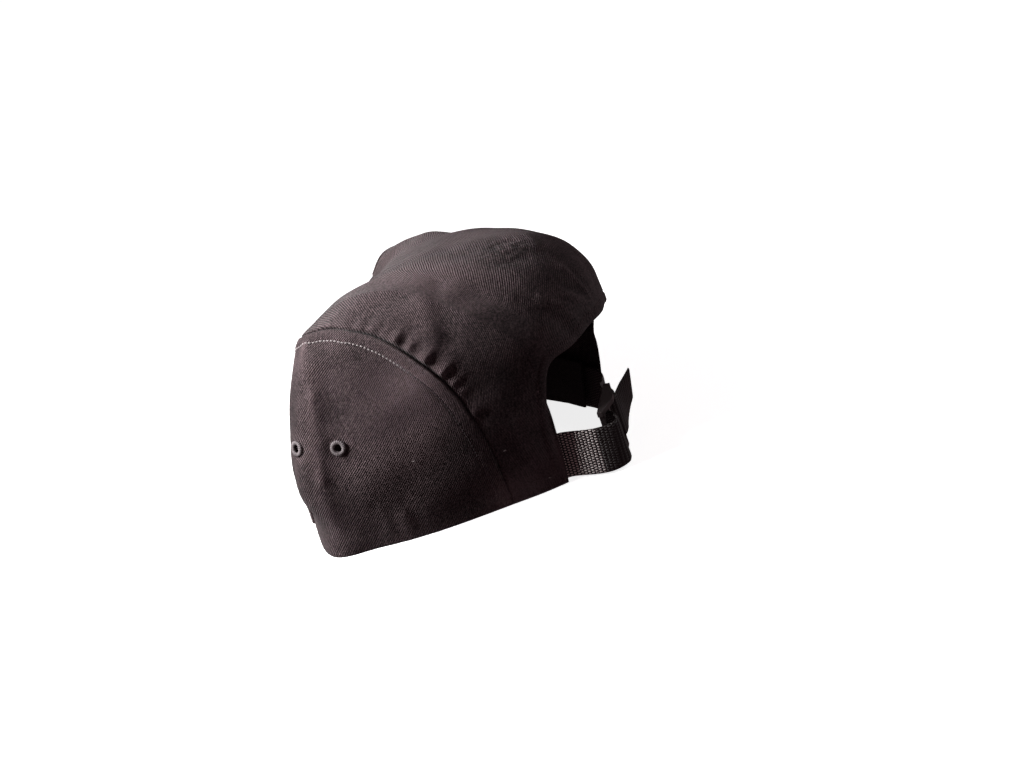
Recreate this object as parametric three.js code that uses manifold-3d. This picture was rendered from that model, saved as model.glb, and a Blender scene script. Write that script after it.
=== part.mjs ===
// A soft camp cap lying on its rim with its peak turned up against the front.
// Millimetres, +Z up, front towards -Y, wearer's left towards +X, rim on z = 0.
import * as THREE from "three";
import { mergeVertices } from "three/addons/utils/BufferGeometryUtils.js";
import Module from "manifold-3d";

const wasm = await Module();
wasm.setup();

// Cloth and gaps
const CLOTH = 1.6;
const SEAM_GAP = 0.2;

// Crown: hoops from the rim to the highest point, one row per bearing from the rear centre round
// by the wearer's left to the front and back by the right. Every level is a point x, y, z.
const CROWN = [
  {
    bearing: "rear centre",
    rim: [0, 146, 0],
    belly: [0, 139, 43],
    shoulder: [0, 134, 87],
    top: [0, 106, 117],
  },
  {
    bearing: "left arch foot",
    rim: [42, 111, 0],
    belly: [41, 114, 45],
    shoulder: [39, 117, 89],
    top: [26, 96, 115],
  },
  {
    bearing: "left rear side",
    rim: [63, 81, 0],
    belly: [68, 82, 45],
    shoulder: [64, 80, 92],
    top: [37, 74, 118],
  },
  {
    bearing: "left side",
    rim: [81, 50, 0],
    belly: [85, 51, 45],
    shoulder: [75, 49, 97],
    top: [41, 48, 119],
  },
  {
    bearing: "left fore side",
    rim: [91, 22, 0],
    belly: [95, 22, 46],
    shoulder: [81, 25, 99],
    top: [48, 26, 117],
  },
  {
    bearing: "left fold",
    rim: [95, -4, 0],
    belly: [95, -7, 46],
    shoulder: [78, 2, 97],
    top: [50, 9, 112],
  },
  {
    bearing: "left front quarter",
    rim: [57, -29, 0],
    belly: [57, -27, 42],
    shoulder: [48, -11, 92],
    top: [28, 2, 107],
  },
  {
    bearing: "front centre",
    rim: [0, -48, 0],
    belly: [0, -42, 42],
    shoulder: [0, -27, 88],
    top: [0, 1, 105],
  },
  {
    bearing: "right front quarter",
    rim: [-57, -29, 0],
    belly: [-57, -26, 42],
    shoulder: [-48, -13, 90],
    top: [-27, 3, 104],
  },
  {
    bearing: "right fold",
    rim: [-95, -4, 0],
    belly: [-95, -4, 43],
    shoulder: [-80, 1, 96],
    top: [-48, 12, 108],
  },
  {
    bearing: "right fore side",
    rim: [-91, 22, 0],
    belly: [-95, 23, 45],
    shoulder: [-81, 26, 97],
    top: [-46, 28, 113],
  },
  {
    bearing: "right side",
    rim: [-81, 50, 0],
    belly: [-85, 51, 45],
    shoulder: [-75, 50, 95],
    top: [-40, 48, 117],
  },
  {
    bearing: "right rear side",
    rim: [-63, 81, 0],
    belly: [-68, 83, 45],
    shoulder: [-64, 83, 92],
    top: [-37, 74, 117],
  },
  {
    bearing: "right arch foot",
    rim: [-42, 111, 0],
    belly: [-42, 118, 45],
    shoulder: [-40, 123, 89],
    top: [-26, 98, 115],
  },
];
const CROWN_PEAK = [0, 54, 120];
const LEVELS = 4;
const BEARINGS = CROWN.length;

// Seams and the arch on the left half, as bearing in crown rows and level from the rim
const FRONT_SEAM_BEARING = 5.75;
const FRONT_SEAM_LEVEL = 2.4;
const SIDE_SEAM = [
  { bearing: 5.75, level: 2.4 },
  { bearing: 5.2, level: 2.52 },
  { bearing: 4.7, level: 2.54 },
  { bearing: 4.2, level: 2.48 },
  { bearing: 3.6, level: 2.33 },
  { bearing: 3.17, level: 2.2 },
  { bearing: 2.8, level: 2.03 },
  { bearing: 2.52, level: 1.85 },
  { bearing: 2.28, level: 1.64 },
  { bearing: 2.12, level: 1.4 },
];
const REAR_SEAM = [
  { bearing: 2.12, level: 1.4 },
  { bearing: 1.97, level: 0.9 },
  { bearing: 1.91, level: 0.45 },
  { bearing: 1.88, level: 0 },
];
const ARCH = [
  { bearing: 1.04, level: 0 },
  { bearing: 1.1, level: 0.4 },
  { bearing: 1.12, level: 0.8 },
  { bearing: 1.1, level: 1.12 },
  { bearing: 1.0, level: 1.4 },
  { bearing: 0.7, level: 1.49 },
  { bearing: 0.36, level: 1.6 },
  { bearing: 0, level: 1.63 },
];
const STEPS = { side: 20, upright: 9, leg: 3, halfArch: 9, frontRim: 24 };

// Folds that show in the outline: a rounded ridge or hollow between two places on the crown.
// Width and rise are in millimetres and a negative rise is a hollow.
const FOLDS = [
  { name: "mid-side ridge", from: [4.8, 0.7], to: [4.5, 1.9], width: 9, rise: 1.6 },
  { name: "hollow above the left rim corner", from: [4.9, 0.35], to: [5.5, 0.45], width: 13, rise: -2.6 },
  { name: "hollow over the front seam", from: [5.6, 2.75], to: [8.4, 2.75], width: 13, rise: -2.4 },
  { name: "left top ridge", from: [4.2, 3.1], to: [2.6, 3.0], width: 14, rise: 1.6 },
  { name: "right top ridge", from: [8.8, 2.5], to: [10.3, 2.8], width: 13, rise: 4.8 },
  { name: "right side dent", from: [10.4, 1.3], to: [11.4, 1.1], width: 18, rise: -2.5 },
  { name: "left arch crease", from: [0.7, 1.85], to: [1.5, 2.6], width: 9, rise: -1.2 },
  { name: "right arch crease", from: [13.3, 1.85], to: [12.5, 2.6], width: 9, rise: -1.2 },
  { name: "hollow over the arch", from: [13.65, 1.72], to: [14.3, 1.78], width: 11, rise: -2.3 },
];

// Sweatband and turned-up peak, placed by bearing and level like the seams
const BAND = {
  cloth: 1.1,
  clearance: 0.7,
  endStep: 3.4,
  easeBearings: 0.9,
  firstBearing: 1.3,
  footLevel: 0.03,
  topLevel: 0.62,
  sideSteps: 22,
  frontSteps: 10,
  upSteps: 3,
};
const PEAK = {
  board: 2.4,
  clearance: 0.7,
  lean: 1,
  firstBearing: 6.05,
  endLevel: 0.25,
  midLevel: 1.52,
  bow: 2.3,
  rounding: 0.6,
  alongSteps: 24,
  upSteps: 6,
};

// Webbing strap and buckle behind the arch. The buckle's own x points to the wearer's left and its y
// outwards. A path gives the middle of the webbing and how far its upper edge is tipped along x and y.
const WEBBING = { width: 25, thickness: 1.3 };
const BUCKLE = {
  x: 19,
  y: 131.6,
  z: 18.4,
  turn: 3,
  pitch: 10,
  railHeight: 2.7,
  opening: 26.6,
  barDepth: 2.8,
};
const BUCKLE_BARS = [
  { x: 11.2, width: 2.5 },
  { x: 0, width: 2.8 },
  { x: -10.4, width: 2.5 },
];
const BUCKLE_RAIL = [
  { x: 13.6, y: -1.6 },
  { x: 13.6, y: 0.8 },
  { x: 1.6, y: 5 },
  { x: -2.4, y: 5 },
  { x: -13.2, y: 1.8 },
  { x: -13.2, y: -1.6 },
];
const LONG_STRAP_FREE = [
  { x: 49.6, y: 97.5, z: 13.6, tipX: 0, tipY: 0 },
  { x: 47.5, y: 100.3, z: 13.6, tipX: 0, tipY: 0 },
  { x: 45.1, y: 103.3, z: 13.6, tipX: 0, tipY: 0 },
  { x: 41, y: 108, z: 13.6, tipX: 0, tipY: 0 },
  { x: 39.6, y: 111.5, z: 13.6, tipX: 0, tipY: 0 },
  { x: 39.7, y: 117, z: 13.6, tipX: 0, tipY: 0 },
  { x: 40.5, y: 123, z: 13.7, tipX: 0, tipY: 0 },
  { x: 40.6, y: 128.5, z: 13.8, tipX: 0, tipY: 0 },
  { x: 39.4, y: 133.5, z: 13.9, tipX: 0, tipY: 0 },
  { x: 36.8, y: 138, z: 14.3, tipX: 0.4, tipY: 0 },
  { x: 33.6, y: 140.4, z: 15, tipX: 1, tipY: -0.4 },
  { x: 30.4, y: 139.7, z: 15.9, tipX: 1.6, tipY: -0.4 },
];
// In the buckle's own axes, height counted from its middle
const LONG_STRAP_THREADED = [
  { x: 8.6, y: 4.8, z: 0, tipX: 0, tipY: 0 },
  { x: 6.8, y: 2, z: 0, tipX: 0, tipY: 0 },
  { x: 5, y: -0.8, z: 0, tipX: 0, tipY: 0 },
  { x: 2.6, y: -2.6, z: 0, tipX: 0, tipY: 0 },
  { x: -0.6, y: -2.8, z: 0, tipX: 0, tipY: 0 },
  { x: -3, y: -1.4, z: 0, tipX: 0, tipY: 0 },
  { x: -4.4, y: 1.2, z: 0, tipX: 0, tipY: 0 },
  { x: -6.4, y: 3.7, z: 0, tipX: 0, tipY: 0 },
  { x: -9.4, y: 4.6, z: 0.4, tipX: 0.4, tipY: 0 },
  { x: -12.6, y: 5, z: 1.4, tipX: 1.4, tipY: 0.6 },
  { x: -16, y: 5.8, z: 2.8, tipX: 2.4, tipY: 1.2 },
  { x: -20, y: 7.3, z: 4.6, tipX: 3.2, tipY: 2 },
  { x: -24.2, y: 9.2, z: 6.8, tipX: 3.8, tipY: 2.6 },
];
const SHORT_STRAP_THREADED = [
  { x: -18.8, y: -2.95, z: 0, tipX: 0, tipY: 0 },
  { x: -15.7, y: -1.2, z: 0, tipX: 0, tipY: 0 },
  { x: -14, y: 0.9, z: 0, tipX: 0, tipY: 0 },
  { x: -12.4, y: 2.3, z: 0, tipX: 0, tipY: 0 },
  { x: -10.2, y: 2.8, z: 0, tipX: 0, tipY: 0 },
  { x: -7.9, y: 2, z: 0, tipX: 0, tipY: 0 },
  { x: -7.1, y: 0, z: 0, tipX: 0, tipY: 0 },
  { x: -8, y: -1.9, z: 0, tipX: 0, tipY: 0 },
  { x: -10.2, y: -2.7, z: 0, tipX: 0, tipY: 0 },
  { x: -13.4, y: -3.1, z: 0, tipX: 0, tipY: 0 },
  { x: -16.6, y: -4, z: 0, tipX: 0, tipY: 0 },
  { x: -19.6, y: -5.2, z: 0, tipX: 0, tipY: 0 },
];
const SHORT_STRAP_FREE = [
  { x: -9, y: 123.6, z: 18.6, tipX: 1.2, tipY: 0 },
  { x: -18, y: 120.8, z: 16.6, tipX: 0, tipY: 0 },
  { x: -27, y: 118, z: 14.4, tipX: -0.4, tipY: 0.3 },
  { x: -35, y: 114.6, z: 13.6, tipX: -0.6, tipY: 0.5 },
  { x: -41, y: 109.5, z: 13.6, tipX: -0.9, tipY: 0.8 },
  { x: -45.4, y: 104.6, z: 13.6, tipX: -0.9, tipY: 0.8 },
  { x: -47.9, y: 101.5, z: 13.6, tipX: -0.9, tipY: 0.8 },
  { x: -50.1, y: 98.5, z: 13.6, tipX: -0.9, tipY: 0.8 },
];

// Stitched eyelets, two on each side
const EYELETS = [
  { name: "eyelet_left_rear", bearing: 4.12, level: 1.22 },
  { name: "eyelet_left_front", bearing: 4.87, level: 1.27 },
  { name: "eyelet_right_rear", bearing: 9.88, level: 1.22 },
  { name: "eyelet_right_front", bearing: 9.13, level: 1.27 },
];
const EYELET = {
  hole: 3.1,
  drill: 8,
  barrel: 2.7,
  bore: 1.6,
  flange: 4.3,
  bevel: 0.5,
  stand: 0.8,
  proud: 1.5,
  inside: 2.1,
  sides: 18,
};

const add = (p, q, k = 1) => [p[0] + k * q[0], p[1] + k * q[1], p[2] + k * q[2]];
const sub = (p, q) => add(p, q, -1);
const dot = (p, q) => p[0] * q[0] + p[1] * q[1] + p[2] * q[2];
const cross = (p, q) => [p[1] * q[2] - p[2] * q[1], p[2] * q[0] - p[0] * q[2], p[0] * q[1] - p[1] * q[0]];
const unit = (p) => p.map((c) => c / Math.hypot(...p));

// Cubic through four points in turn, at f between the middle two
function cubic(a, b, c, d, f) {
  return b.map((_, k) => {
    const bend = 2 * a[k] - 5 * b[k] + 4 * c[k] - d[k];
    const twist = 3 * b[k] - a[k] - 3 * c[k] + d[k];
    return 0.5 * (2 * b[k] + (c[k] - a[k]) * f + bend * f * f + twist * f * f * f);
  });
}

function alongCurve(points, t) {
  const first = points[0];
  const last = points[points.length - 1];
  const before = first.map((c, k) => 2 * c - points[1][k]);
  const after = last.map((c, k) => 2 * c - points[points.length - 2][k]);
  const all = [before, ...points, after];
  const i = Math.min(Math.max(Math.floor(t), 0), points.length - 2);
  return cubic(all[i], all[i + 1], all[i + 2], all[i + 3], t - i);
}

function ringPoint(level, bearing) {
  const i = Math.floor(bearing);
  const at = (k) => CROWN[(((i + k) % BEARINGS) + BEARINGS) % BEARINGS][level];
  return cubic(at(-1), at(0), at(1), at(2), bearing - i);
}

// The smooth crown: a hoop runs from the rim over the highest point to the opposite rim
function smoothCrown(bearing, level) {
  const names = ["rim", "belly", "shoulder", "top"];
  const near = names.map((n) => ringPoint(n, bearing));
  const far = ["shoulder", "top"].map((n) => ringPoint(n, bearing + BEARINGS / 2));
  return alongCurve([...near, CROWN_PEAK, far[1], far[0]], level);
}

// Flat plan of the crown: distance from the middle is the level counted from the highest point
const toPlan = (bearing, level) => {
  const turn = (2 * Math.PI * bearing) / BEARINGS;
  const reach = 1 - level / LEVELS;
  return [reach * Math.sin(turn), reach * Math.cos(turn)];
};

function planPoint([a, b]) {
  const bearing = (Math.atan2(a, b) * BEARINGS) / (2 * Math.PI);
  return smoothCrown(bearing, LEVELS * (1 - Math.hypot(a, b)));
}

function planNormal([a, b]) {
  const step = 0.004;
  const alongA = sub(planPoint([a + step, b]), planPoint([a - step, b]));
  const alongB = sub(planPoint([a, b + step]), planPoint([a, b - step]));
  return unit(cross(alongA, alongB));
}

const FOLD_ENDS = FOLDS.map((f) => ({ ...f, start: smoothCrown(...f.from), end: smoothCrown(...f.to) }));

function foldRise(point) {
  let rise = 0;
  for (const fold of FOLD_ENDS) {
    const run = sub(fold.end, fold.start);
    const t = Math.min(Math.max(dot(sub(point, fold.start), run) / dot(run, run), 0), 1);
    const away = Math.hypot(...sub(point, add(fold.start, run, t)));
    rise += fold.rise * Math.exp(-((away / fold.width) ** 2));
  }
  return rise;
}

// Outer face of the shell with its outward direction; the rim itself stays on the floor
function shellAt(plan) {
  const point = planPoint(plan);
  const normal = planNormal(plan);
  const fade = Math.min(point[2] / 12, 1);
  return { point: add(point, normal, fade * foldRise(point)), normal };
}

function planCurve(rows, count) {
  const pairs = rows.map((r) => toPlan(r.bearing, r.level));
  return Array.from({ length: count + 1 }, (_, i) => alongCurve(pairs, (i / count) * (rows.length - 1)));
}

const rimCurve = (from, to, count) =>
  Array.from({ length: count + 1 }, (_, i) => toPlan(from + ((to - from) * i) / count, 0));

const mirrorPlan = (curve) => curve.map(([a, b]) => [-a, b]);

// Fills four border curves with a grid: low and high run the same way, first and last join them
function fillPatch(low, high, first, last) {
  const n = low.length - 1;
  const m = first.length - 1;
  const grid = [];
  for (let i = 0; i <= n; i++) {
    const s = i / n;
    grid.push(
      Array.from({ length: m + 1 }, (_, j) => {
        const t = j / m;
        return [0, 1].map((k) => {
          const lofts = (1 - t) * low[i][k] + t * high[i][k] + (1 - s) * first[j][k] + s * last[j][k];
          const corners =
            (1 - s) * (1 - t) * low[0][k] +
            s * (1 - t) * low[n][k] +
            (1 - s) * t * high[0][k] +
            s * t * high[n][k];
          return lofts - corners;
        });
      }),
    );
  }
  return grid;
}

// Closes two grids of points, the outer facing out, into one solid sheet
function sheetGeometry(outer, inner) {
  const n = outer.length;
  const m = outer[0].length;
  const at = (i, j, layer) => layer * n * m + i * m + j;
  const faces = [];
  const quad = (a, b, c, d) => faces.push(a, b, c, a, c, d);
  for (let i = 0; i < n - 1; i++) {
    for (let j = 0; j < m - 1; j++) {
      quad(at(i, j, 0), at(i + 1, j, 0), at(i + 1, j + 1, 0), at(i, j + 1, 0));
      quad(at(i, j, 1), at(i, j + 1, 1), at(i + 1, j + 1, 1), at(i + 1, j, 1));
    }
  }
  for (let i = 0; i < n - 1; i++) {
    quad(at(i, 0, 0), at(i, 0, 1), at(i + 1, 0, 1), at(i + 1, 0, 0));
    quad(at(i, m - 1, 0), at(i + 1, m - 1, 0), at(i + 1, m - 1, 1), at(i, m - 1, 1));
  }
  for (let j = 0; j < m - 1; j++) {
    quad(at(0, j, 0), at(0, j + 1, 0), at(0, j + 1, 1), at(0, j, 1));
    quad(at(n - 1, j, 0), at(n - 1, j, 1), at(n - 1, j + 1, 1), at(n - 1, j + 1, 0));
  }
  const geometry = new THREE.BufferGeometry();
  const points = [...outer.flat(), ...inner.flat()];
  geometry.setAttribute("position", new THREE.Float32BufferAttribute(points.flat(), 3));
  geometry.setIndex(faces);
  return geometry;
}

// Draws a sheet's border back from a seam by the seam gap, and sets a rim border on the floor
function trimBorders(grid, borders) {
  const n = grid.length - 1;
  const m = grid[0].length - 1;
  const source = grid.map((row) => row.map((p) => [...p]));
  const pull = (i, j, toI, toJ) => {
    const way = unit(sub(source[toI][toJ], source[i][j]));
    grid[i][j] = add(grid[i][j], way, SEAM_GAP);
  };
  for (let i = 0; i <= n; i++) {
    if (borders.low === "seam") pull(i, 0, i, 1);
    if (borders.high === "seam") pull(i, m, i, m - 1);
  }
  for (let j = 0; j <= m; j++) {
    if (borders.first === "seam") pull(0, j, 1, j);
    if (borders.last === "seam") pull(n, j, n - 1, j);
  }
  return grid;
}

// Puts a plan grid in the order whose cells turn anticlockwise seen from outside
function facingOut(planGrid) {
  const [i, j] = [planGrid.length >> 1, planGrid[0].length >> 1];
  const [here, along, up] = [planGrid[i][j], planGrid[i + 1][j], planGrid[i][j + 1]];
  const turn = (along[0] - here[0]) * (up[1] - here[1]) - (along[1] - here[1]) * (up[0] - here[0]);
  return turn > 0 ? planGrid : [...planGrid].reverse();
}

function panelGeometry(plan, borders) {
  const planGrid = facingOut(plan);
  const shell = planGrid.map((row) => row.map(shellAt));
  const outer = shell.map((row) => row.map((s) => s.point));
  const inner = shell.map((row) => row.map((s) => add(s.point, s.normal, -CLOTH)));
  for (const grid of [outer, inner]) {
    trimBorders(grid, borders);
    grid.forEach((row, i) =>
      row.forEach((p, j) => {
        const [a, b] = planGrid[i][j];
        if (Math.hypot(a, b) > 1 - 1e-9) p[2] = 0;
      }),
    );
  }
  return sheetGeometry(outer, inner);
}

const FABRIC = new THREE.MeshStandardMaterial({ name: "twill", color: 0x3b373a, roughness: 0.95 });
const WEB = new THREE.MeshStandardMaterial({ name: "webbing", color: 0x343134, roughness: 0.9 });
const BAND_CLOTH = new THREE.MeshStandardMaterial({
  name: "sweatband_cloth",
  color: 0x2b292b,
  roughness: 0.95,
});
const PLASTIC = new THREE.MeshStandardMaterial({ name: "buckle_plastic", color: 0x2a292b, roughness: 0.6 });
const THREAD = new THREE.MeshStandardMaterial({ name: "thread", color: 0x403c3f, roughness: 0.9 });

const cap = new THREE.Group();
cap.name = "camp_cap";

// Middle of the whole cap seen from above, which the finished pieces have as their origin
const ORIGIN = { x: 0.71, y: 45.94 };

function addPiece(name, geometry, material) {
  geometry.translate(-ORIGIN.x, -ORIGIN.y, 0);
  geometry.computeVertexNormals();
  const mesh = new THREE.Mesh(geometry, material);
  mesh.name = name;
  cap.add(mesh);
}

function toManifold(geometry) {
  const position = geometry.getAttribute("position");
  return new wasm.Manifold(
    new wasm.Mesh({
      numProp: 3,
      vertProperties: new Float32Array(position.array),
      triVerts: new Uint32Array(geometry.getIndex().array),
    }),
  );
}

function toGeometry(solid) {
  const mesh = solid.getMesh();
  const geometry = new THREE.BufferGeometry();
  geometry.setAttribute("position", new THREE.BufferAttribute(mesh.vertProperties, 3));
  geometry.setIndex(new THREE.BufferAttribute(mesh.triVerts, 1));
  return geometry;
}

// A closed ring about an outward axis through a point, from its outline in radius and height
function ringGeometry(point, normal, outline, sides) {
  const spare = Math.abs(normal[2]) < 0.9 ? [0, 0, 1] : [1, 0, 0];
  const east = unit(cross(spare, normal));
  const north = cross(normal, east);
  const points = [];
  const faces = [];
  const count = outline.length;
  for (let i = 0; i < sides; i++) {
    const turn = (2 * Math.PI * i) / sides;
    const away = add(east.map((c) => c * Math.cos(turn)), north, Math.sin(turn));
    for (const { radius, height } of outline) points.push(add(add(point, away, radius), normal, height));
    for (let j = 0; j < count; j++) {
      const here = i * count + j;
      const above = i * count + ((j + 1) % count);
      const next = (((i + 1) % sides) * count) + j;
      const nextAbove = (((i + 1) % sides) * count) + ((j + 1) % count);
      faces.push(here, next, nextAbove, here, nextAbove, above);
    }
  }
  const geometry = new THREE.BufferGeometry();
  geometry.setAttribute("position", new THREE.Float32BufferAttribute(points.flat(), 3));
  geometry.setIndex(faces);
  return geometry;
}

// Shell panels
const sideSeam = planCurve(SIDE_SEAM, STEPS.side);
const rearSeam = planCurve(REAR_SEAM, STEPS.upright);
const leftSeam = [...sideSeam, ...rearSeam.slice(1)];
const halfArch = planCurve(ARCH, STEPS.halfArch);
const leg = rimCurve(REAR_SEAM[REAR_SEAM.length - 1].bearing, ARCH[0].bearing, STEPS.leg);
const leftRear = [...leg, ...halfArch.slice(1)];
const rearEdge = [...leftRear, ...mirrorPlan(leftRear).reverse().slice(1)];
const frontSeam = Array.from({ length: STEPS.frontRim + 1 }, (_, i) => {
  const bearing = FRONT_SEAM_BEARING + ((BEARINGS - 2 * FRONT_SEAM_BEARING) * i) / STEPS.frontRim;
  return toPlan(bearing, FRONT_SEAM_LEVEL);
});
const frontUpright = planCurve(
  [
    { bearing: FRONT_SEAM_BEARING, level: 0 },
    { bearing: FRONT_SEAM_BEARING, level: 0.8 },
    { bearing: FRONT_SEAM_BEARING, level: 1.6 },
    { bearing: FRONT_SEAM_BEARING, level: FRONT_SEAM_LEVEL },
  ],
  STEPS.upright,
);

const topPlan = fillPatch(frontSeam, rearEdge, leftSeam, mirrorPlan(leftSeam));
const topBorders = { low: "seam", high: "free", first: "seam", last: "seam" };
addPiece("top_panel", panelGeometry(topPlan, topBorders), FABRIC);

const frontRim = rimCurve(FRONT_SEAM_BEARING, BEARINGS - FRONT_SEAM_BEARING, STEPS.frontRim);
const frontPlan = fillPatch(frontRim, frontSeam, frontUpright, mirrorPlan(frontUpright));
const frontBorders = { low: "free", high: "seam", first: "seam", last: "seam" };
addPiece("front_panel", panelGeometry(frontPlan, frontBorders), FABRIC);

const sideRim = rimCurve(FRONT_SEAM_BEARING, REAR_SEAM[REAR_SEAM.length - 1].bearing, STEPS.side);
const sidePlan = fillPatch(sideRim, sideSeam, frontUpright, [...rearSeam].reverse());
const sideBorders = { low: "free", high: "seam", first: "seam", last: "seam" };

// Side panels are punched where their eyelets go
function punchedPanel(plan, eyelets) {
  let solid = toManifold(panelGeometry(plan, sideBorders));
  for (const { bearing, level } of eyelets) {
    const { point, normal } = shellAt(toPlan(bearing, level));
    const drill = new THREE.CylinderGeometry(EYELET.hole, EYELET.hole, EYELET.drill, EYELET.sides);
    drill.deleteAttribute("normal");
    drill.deleteAttribute("uv");
    const up = new THREE.Vector3(0, 1, 0);
    drill.applyQuaternion(new THREE.Quaternion().setFromUnitVectors(up, new THREE.Vector3(...normal)));
    drill.translate(...point);
    solid = solid.subtract(toManifold(mergeVertices(drill)));
  }
  return toGeometry(solid);
}

addPiece("side_panel_left", punchedPanel(sidePlan, EYELETS.slice(0, 2)), FABRIC);
addPiece("side_panel_right", punchedPanel(sidePlan.map(mirrorPlan), EYELETS.slice(2)), FABRIC);

const eyeletOutline = [
  { radius: EYELET.bore, height: -EYELET.inside },
  { radius: EYELET.barrel, height: -EYELET.inside },
  { radius: EYELET.barrel, height: EYELET.stand },
  { radius: EYELET.flange, height: EYELET.stand },
  { radius: EYELET.flange - EYELET.bevel, height: EYELET.proud },
  { radius: EYELET.bore + EYELET.bevel, height: EYELET.proud },
  { radius: EYELET.bore, height: EYELET.stand },
];
for (const { name, bearing, level } of EYELETS) {
  const { point, normal } = shellAt(toPlan(bearing, level));
  addPiece(name, ringGeometry(point, normal, eyeletOutline, EYELET.sides), THREAD);
}

// Sweatband inside the rim, stepping further in at its ends to cover the sewn ends of the strap
const BAND_SIDE_STEP = (FRONT_SEAM_BEARING - BAND.firstBearing) / BAND.sideSteps;
const BAND_FRONT_STEP = (BEARINGS / 2 - FRONT_SEAM_BEARING) / BAND.frontSteps;
const bandBearings = [
  ...Array.from({ length: BAND.sideSteps }, (_, i) => BAND.firstBearing + i * BAND_SIDE_STEP),
  ...Array.from({ length: BAND.frontSteps }, (_, i) => FRONT_SEAM_BEARING + i * BAND_FRONT_STEP),
];
const bandRing = [...bandBearings, BEARINGS / 2, ...bandBearings.map((t) => BEARINGS - t).reverse()];

function bandDepth(bearing) {
  const fromEnd = Math.min(bearing, BEARINGS - bearing) - BAND.firstBearing;
  const ease = Math.min(Math.max(fromEnd / BAND.easeBearings, 0), 1);
  return CLOTH + BAND.clearance + BAND.endStep * (1 - ease * ease * (3 - 2 * ease));
}

function bandLayer(extra) {
  return bandRing.map((bearing) =>
    Array.from({ length: BAND.upSteps + 1 }, (_, j) => {
      const level = BAND.footLevel + ((BAND.topLevel - BAND.footLevel) * j) / BAND.upSteps;
      const { point, normal } = shellAt(toPlan(bearing, level));
      return add(point, normal, -bandDepth(bearing) - extra);
    }),
  );
}
addPiece("sweatband", sheetGeometry(bandLayer(0).reverse(), bandLayer(BAND.cloth).reverse()), BAND_CLOTH);

// Peak: a board following the front, tallest in the middle and leaning away towards its edge
function peakLayer(extra) {
  return Array.from({ length: PEAK.alongSteps + 1 }, (_, i) => {
    const share = (2 * i) / PEAK.alongSteps - 1;
    const bearing = BEARINGS / 2 + share * (BEARINGS / 2 - PEAK.firstBearing);
    const bow = (1 - Math.abs(share) ** PEAK.bow) ** PEAK.rounding;
    const crest = PEAK.endLevel + (PEAK.midLevel - PEAK.endLevel) * bow;
    return Array.from({ length: PEAK.upSteps + 1 }, (_, j) => {
      const rise = j / PEAK.upSteps;
      const { point, normal } = shellAt(toPlan(bearing, crest * rise));
      const away = add(point, normal, PEAK.clearance + PEAK.lean * crest * rise * rise + extra);
      return j === 0 ? [away[0], away[1], 0] : away;
    });
  });
}
addPiece("peak", sheetGeometry(peakLayer(PEAK.board).reverse(), peakLayer(0).reverse()), FABRIC);

// Webbing swept along a path in plan, its width upright and tipped where the path says so
function webbingGeometry(path) {
  const points = [];
  const faces = [];
  path.forEach((here, i) => {
    const back = path[Math.max(i - 1, 0)];
    const on = path[Math.min(i + 1, path.length - 1)];
    const [from, to] = i > 0 ? [back, here] : [here, on];
    const into = unit([to.x - from.x, to.y - from.y, 0]);
    const out = i < path.length - 1 ? unit([on.x - here.x, on.y - here.y, 0]) : into;
    const way = unit(add(into, out));
    const mitre = 1 / Math.max(dot(way, into), 0.5);
    const side = [-way[1], way[0]];
    const rise = Math.sqrt((WEBBING.width / 2) ** 2 - here.tipX ** 2 - here.tipY ** 2);
    for (const [across, up] of [[-1, -1], [1, -1], [1, 1], [-1, 1]]) {
      const shift = (across * mitre * WEBBING.thickness) / 2;
      const x = here.x + side[0] * shift + up * here.tipX;
      const y = here.y + side[1] * shift + up * here.tipY;
      points.push([x, y, here.z + up * rise]);
    }
    if (i === 0) return;
    for (let k = 0; k < 4; k++) {
      const [a, b] = [4 * (i - 1) + k, 4 * (i - 1) + ((k + 1) % 4)];
      faces.push(a, b + 4, a + 4, a, b, b + 4);
    }
  });
  const end = 4 * (path.length - 1);
  faces.push(0, 2, 1, 0, 3, 2, end, end + 1, end + 2, end, end + 2, end + 3);
  const geometry = new THREE.BufferGeometry();
  geometry.setAttribute("position", new THREE.Float32BufferAttribute(points.flat(), 3));
  geometry.setIndex(faces);
  return geometry;
}

const buckleFrame = new THREE.Matrix4()
  .makeTranslation(BUCKLE.x, BUCKLE.y, BUCKLE.z)
  .multiply(new THREE.Matrix4().makeRotationZ(THREE.MathUtils.degToRad(BUCKLE.turn)))
  .multiply(new THREE.Matrix4().makeRotationY(THREE.MathUtils.degToRad(BUCKLE.pitch)));
function fromBuckle(row) {
  const place = new THREE.Vector3(row.x, row.y, row.z).applyMatrix4(buckleFrame);
  const tip = new THREE.Vector3(row.tipX, row.tipY, WEBBING.width / 2).transformDirection(buckleFrame);
  const reach = WEBBING.width / 2;
  return { x: place.x, y: place.y, z: place.z, tipX: tip.x * reach, tipY: tip.y * reach };
}
const longStrapPath = [...LONG_STRAP_FREE, ...LONG_STRAP_THREADED.map(fromBuckle)];
addPiece("strap_long", webbingGeometry(longStrapPath), WEB);
const shortStrapPath = [...SHORT_STRAP_THREADED.map(fromBuckle), ...SHORT_STRAP_FREE];
addPiece("strap_short", webbingGeometry(shortStrapPath), WEB);

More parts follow.
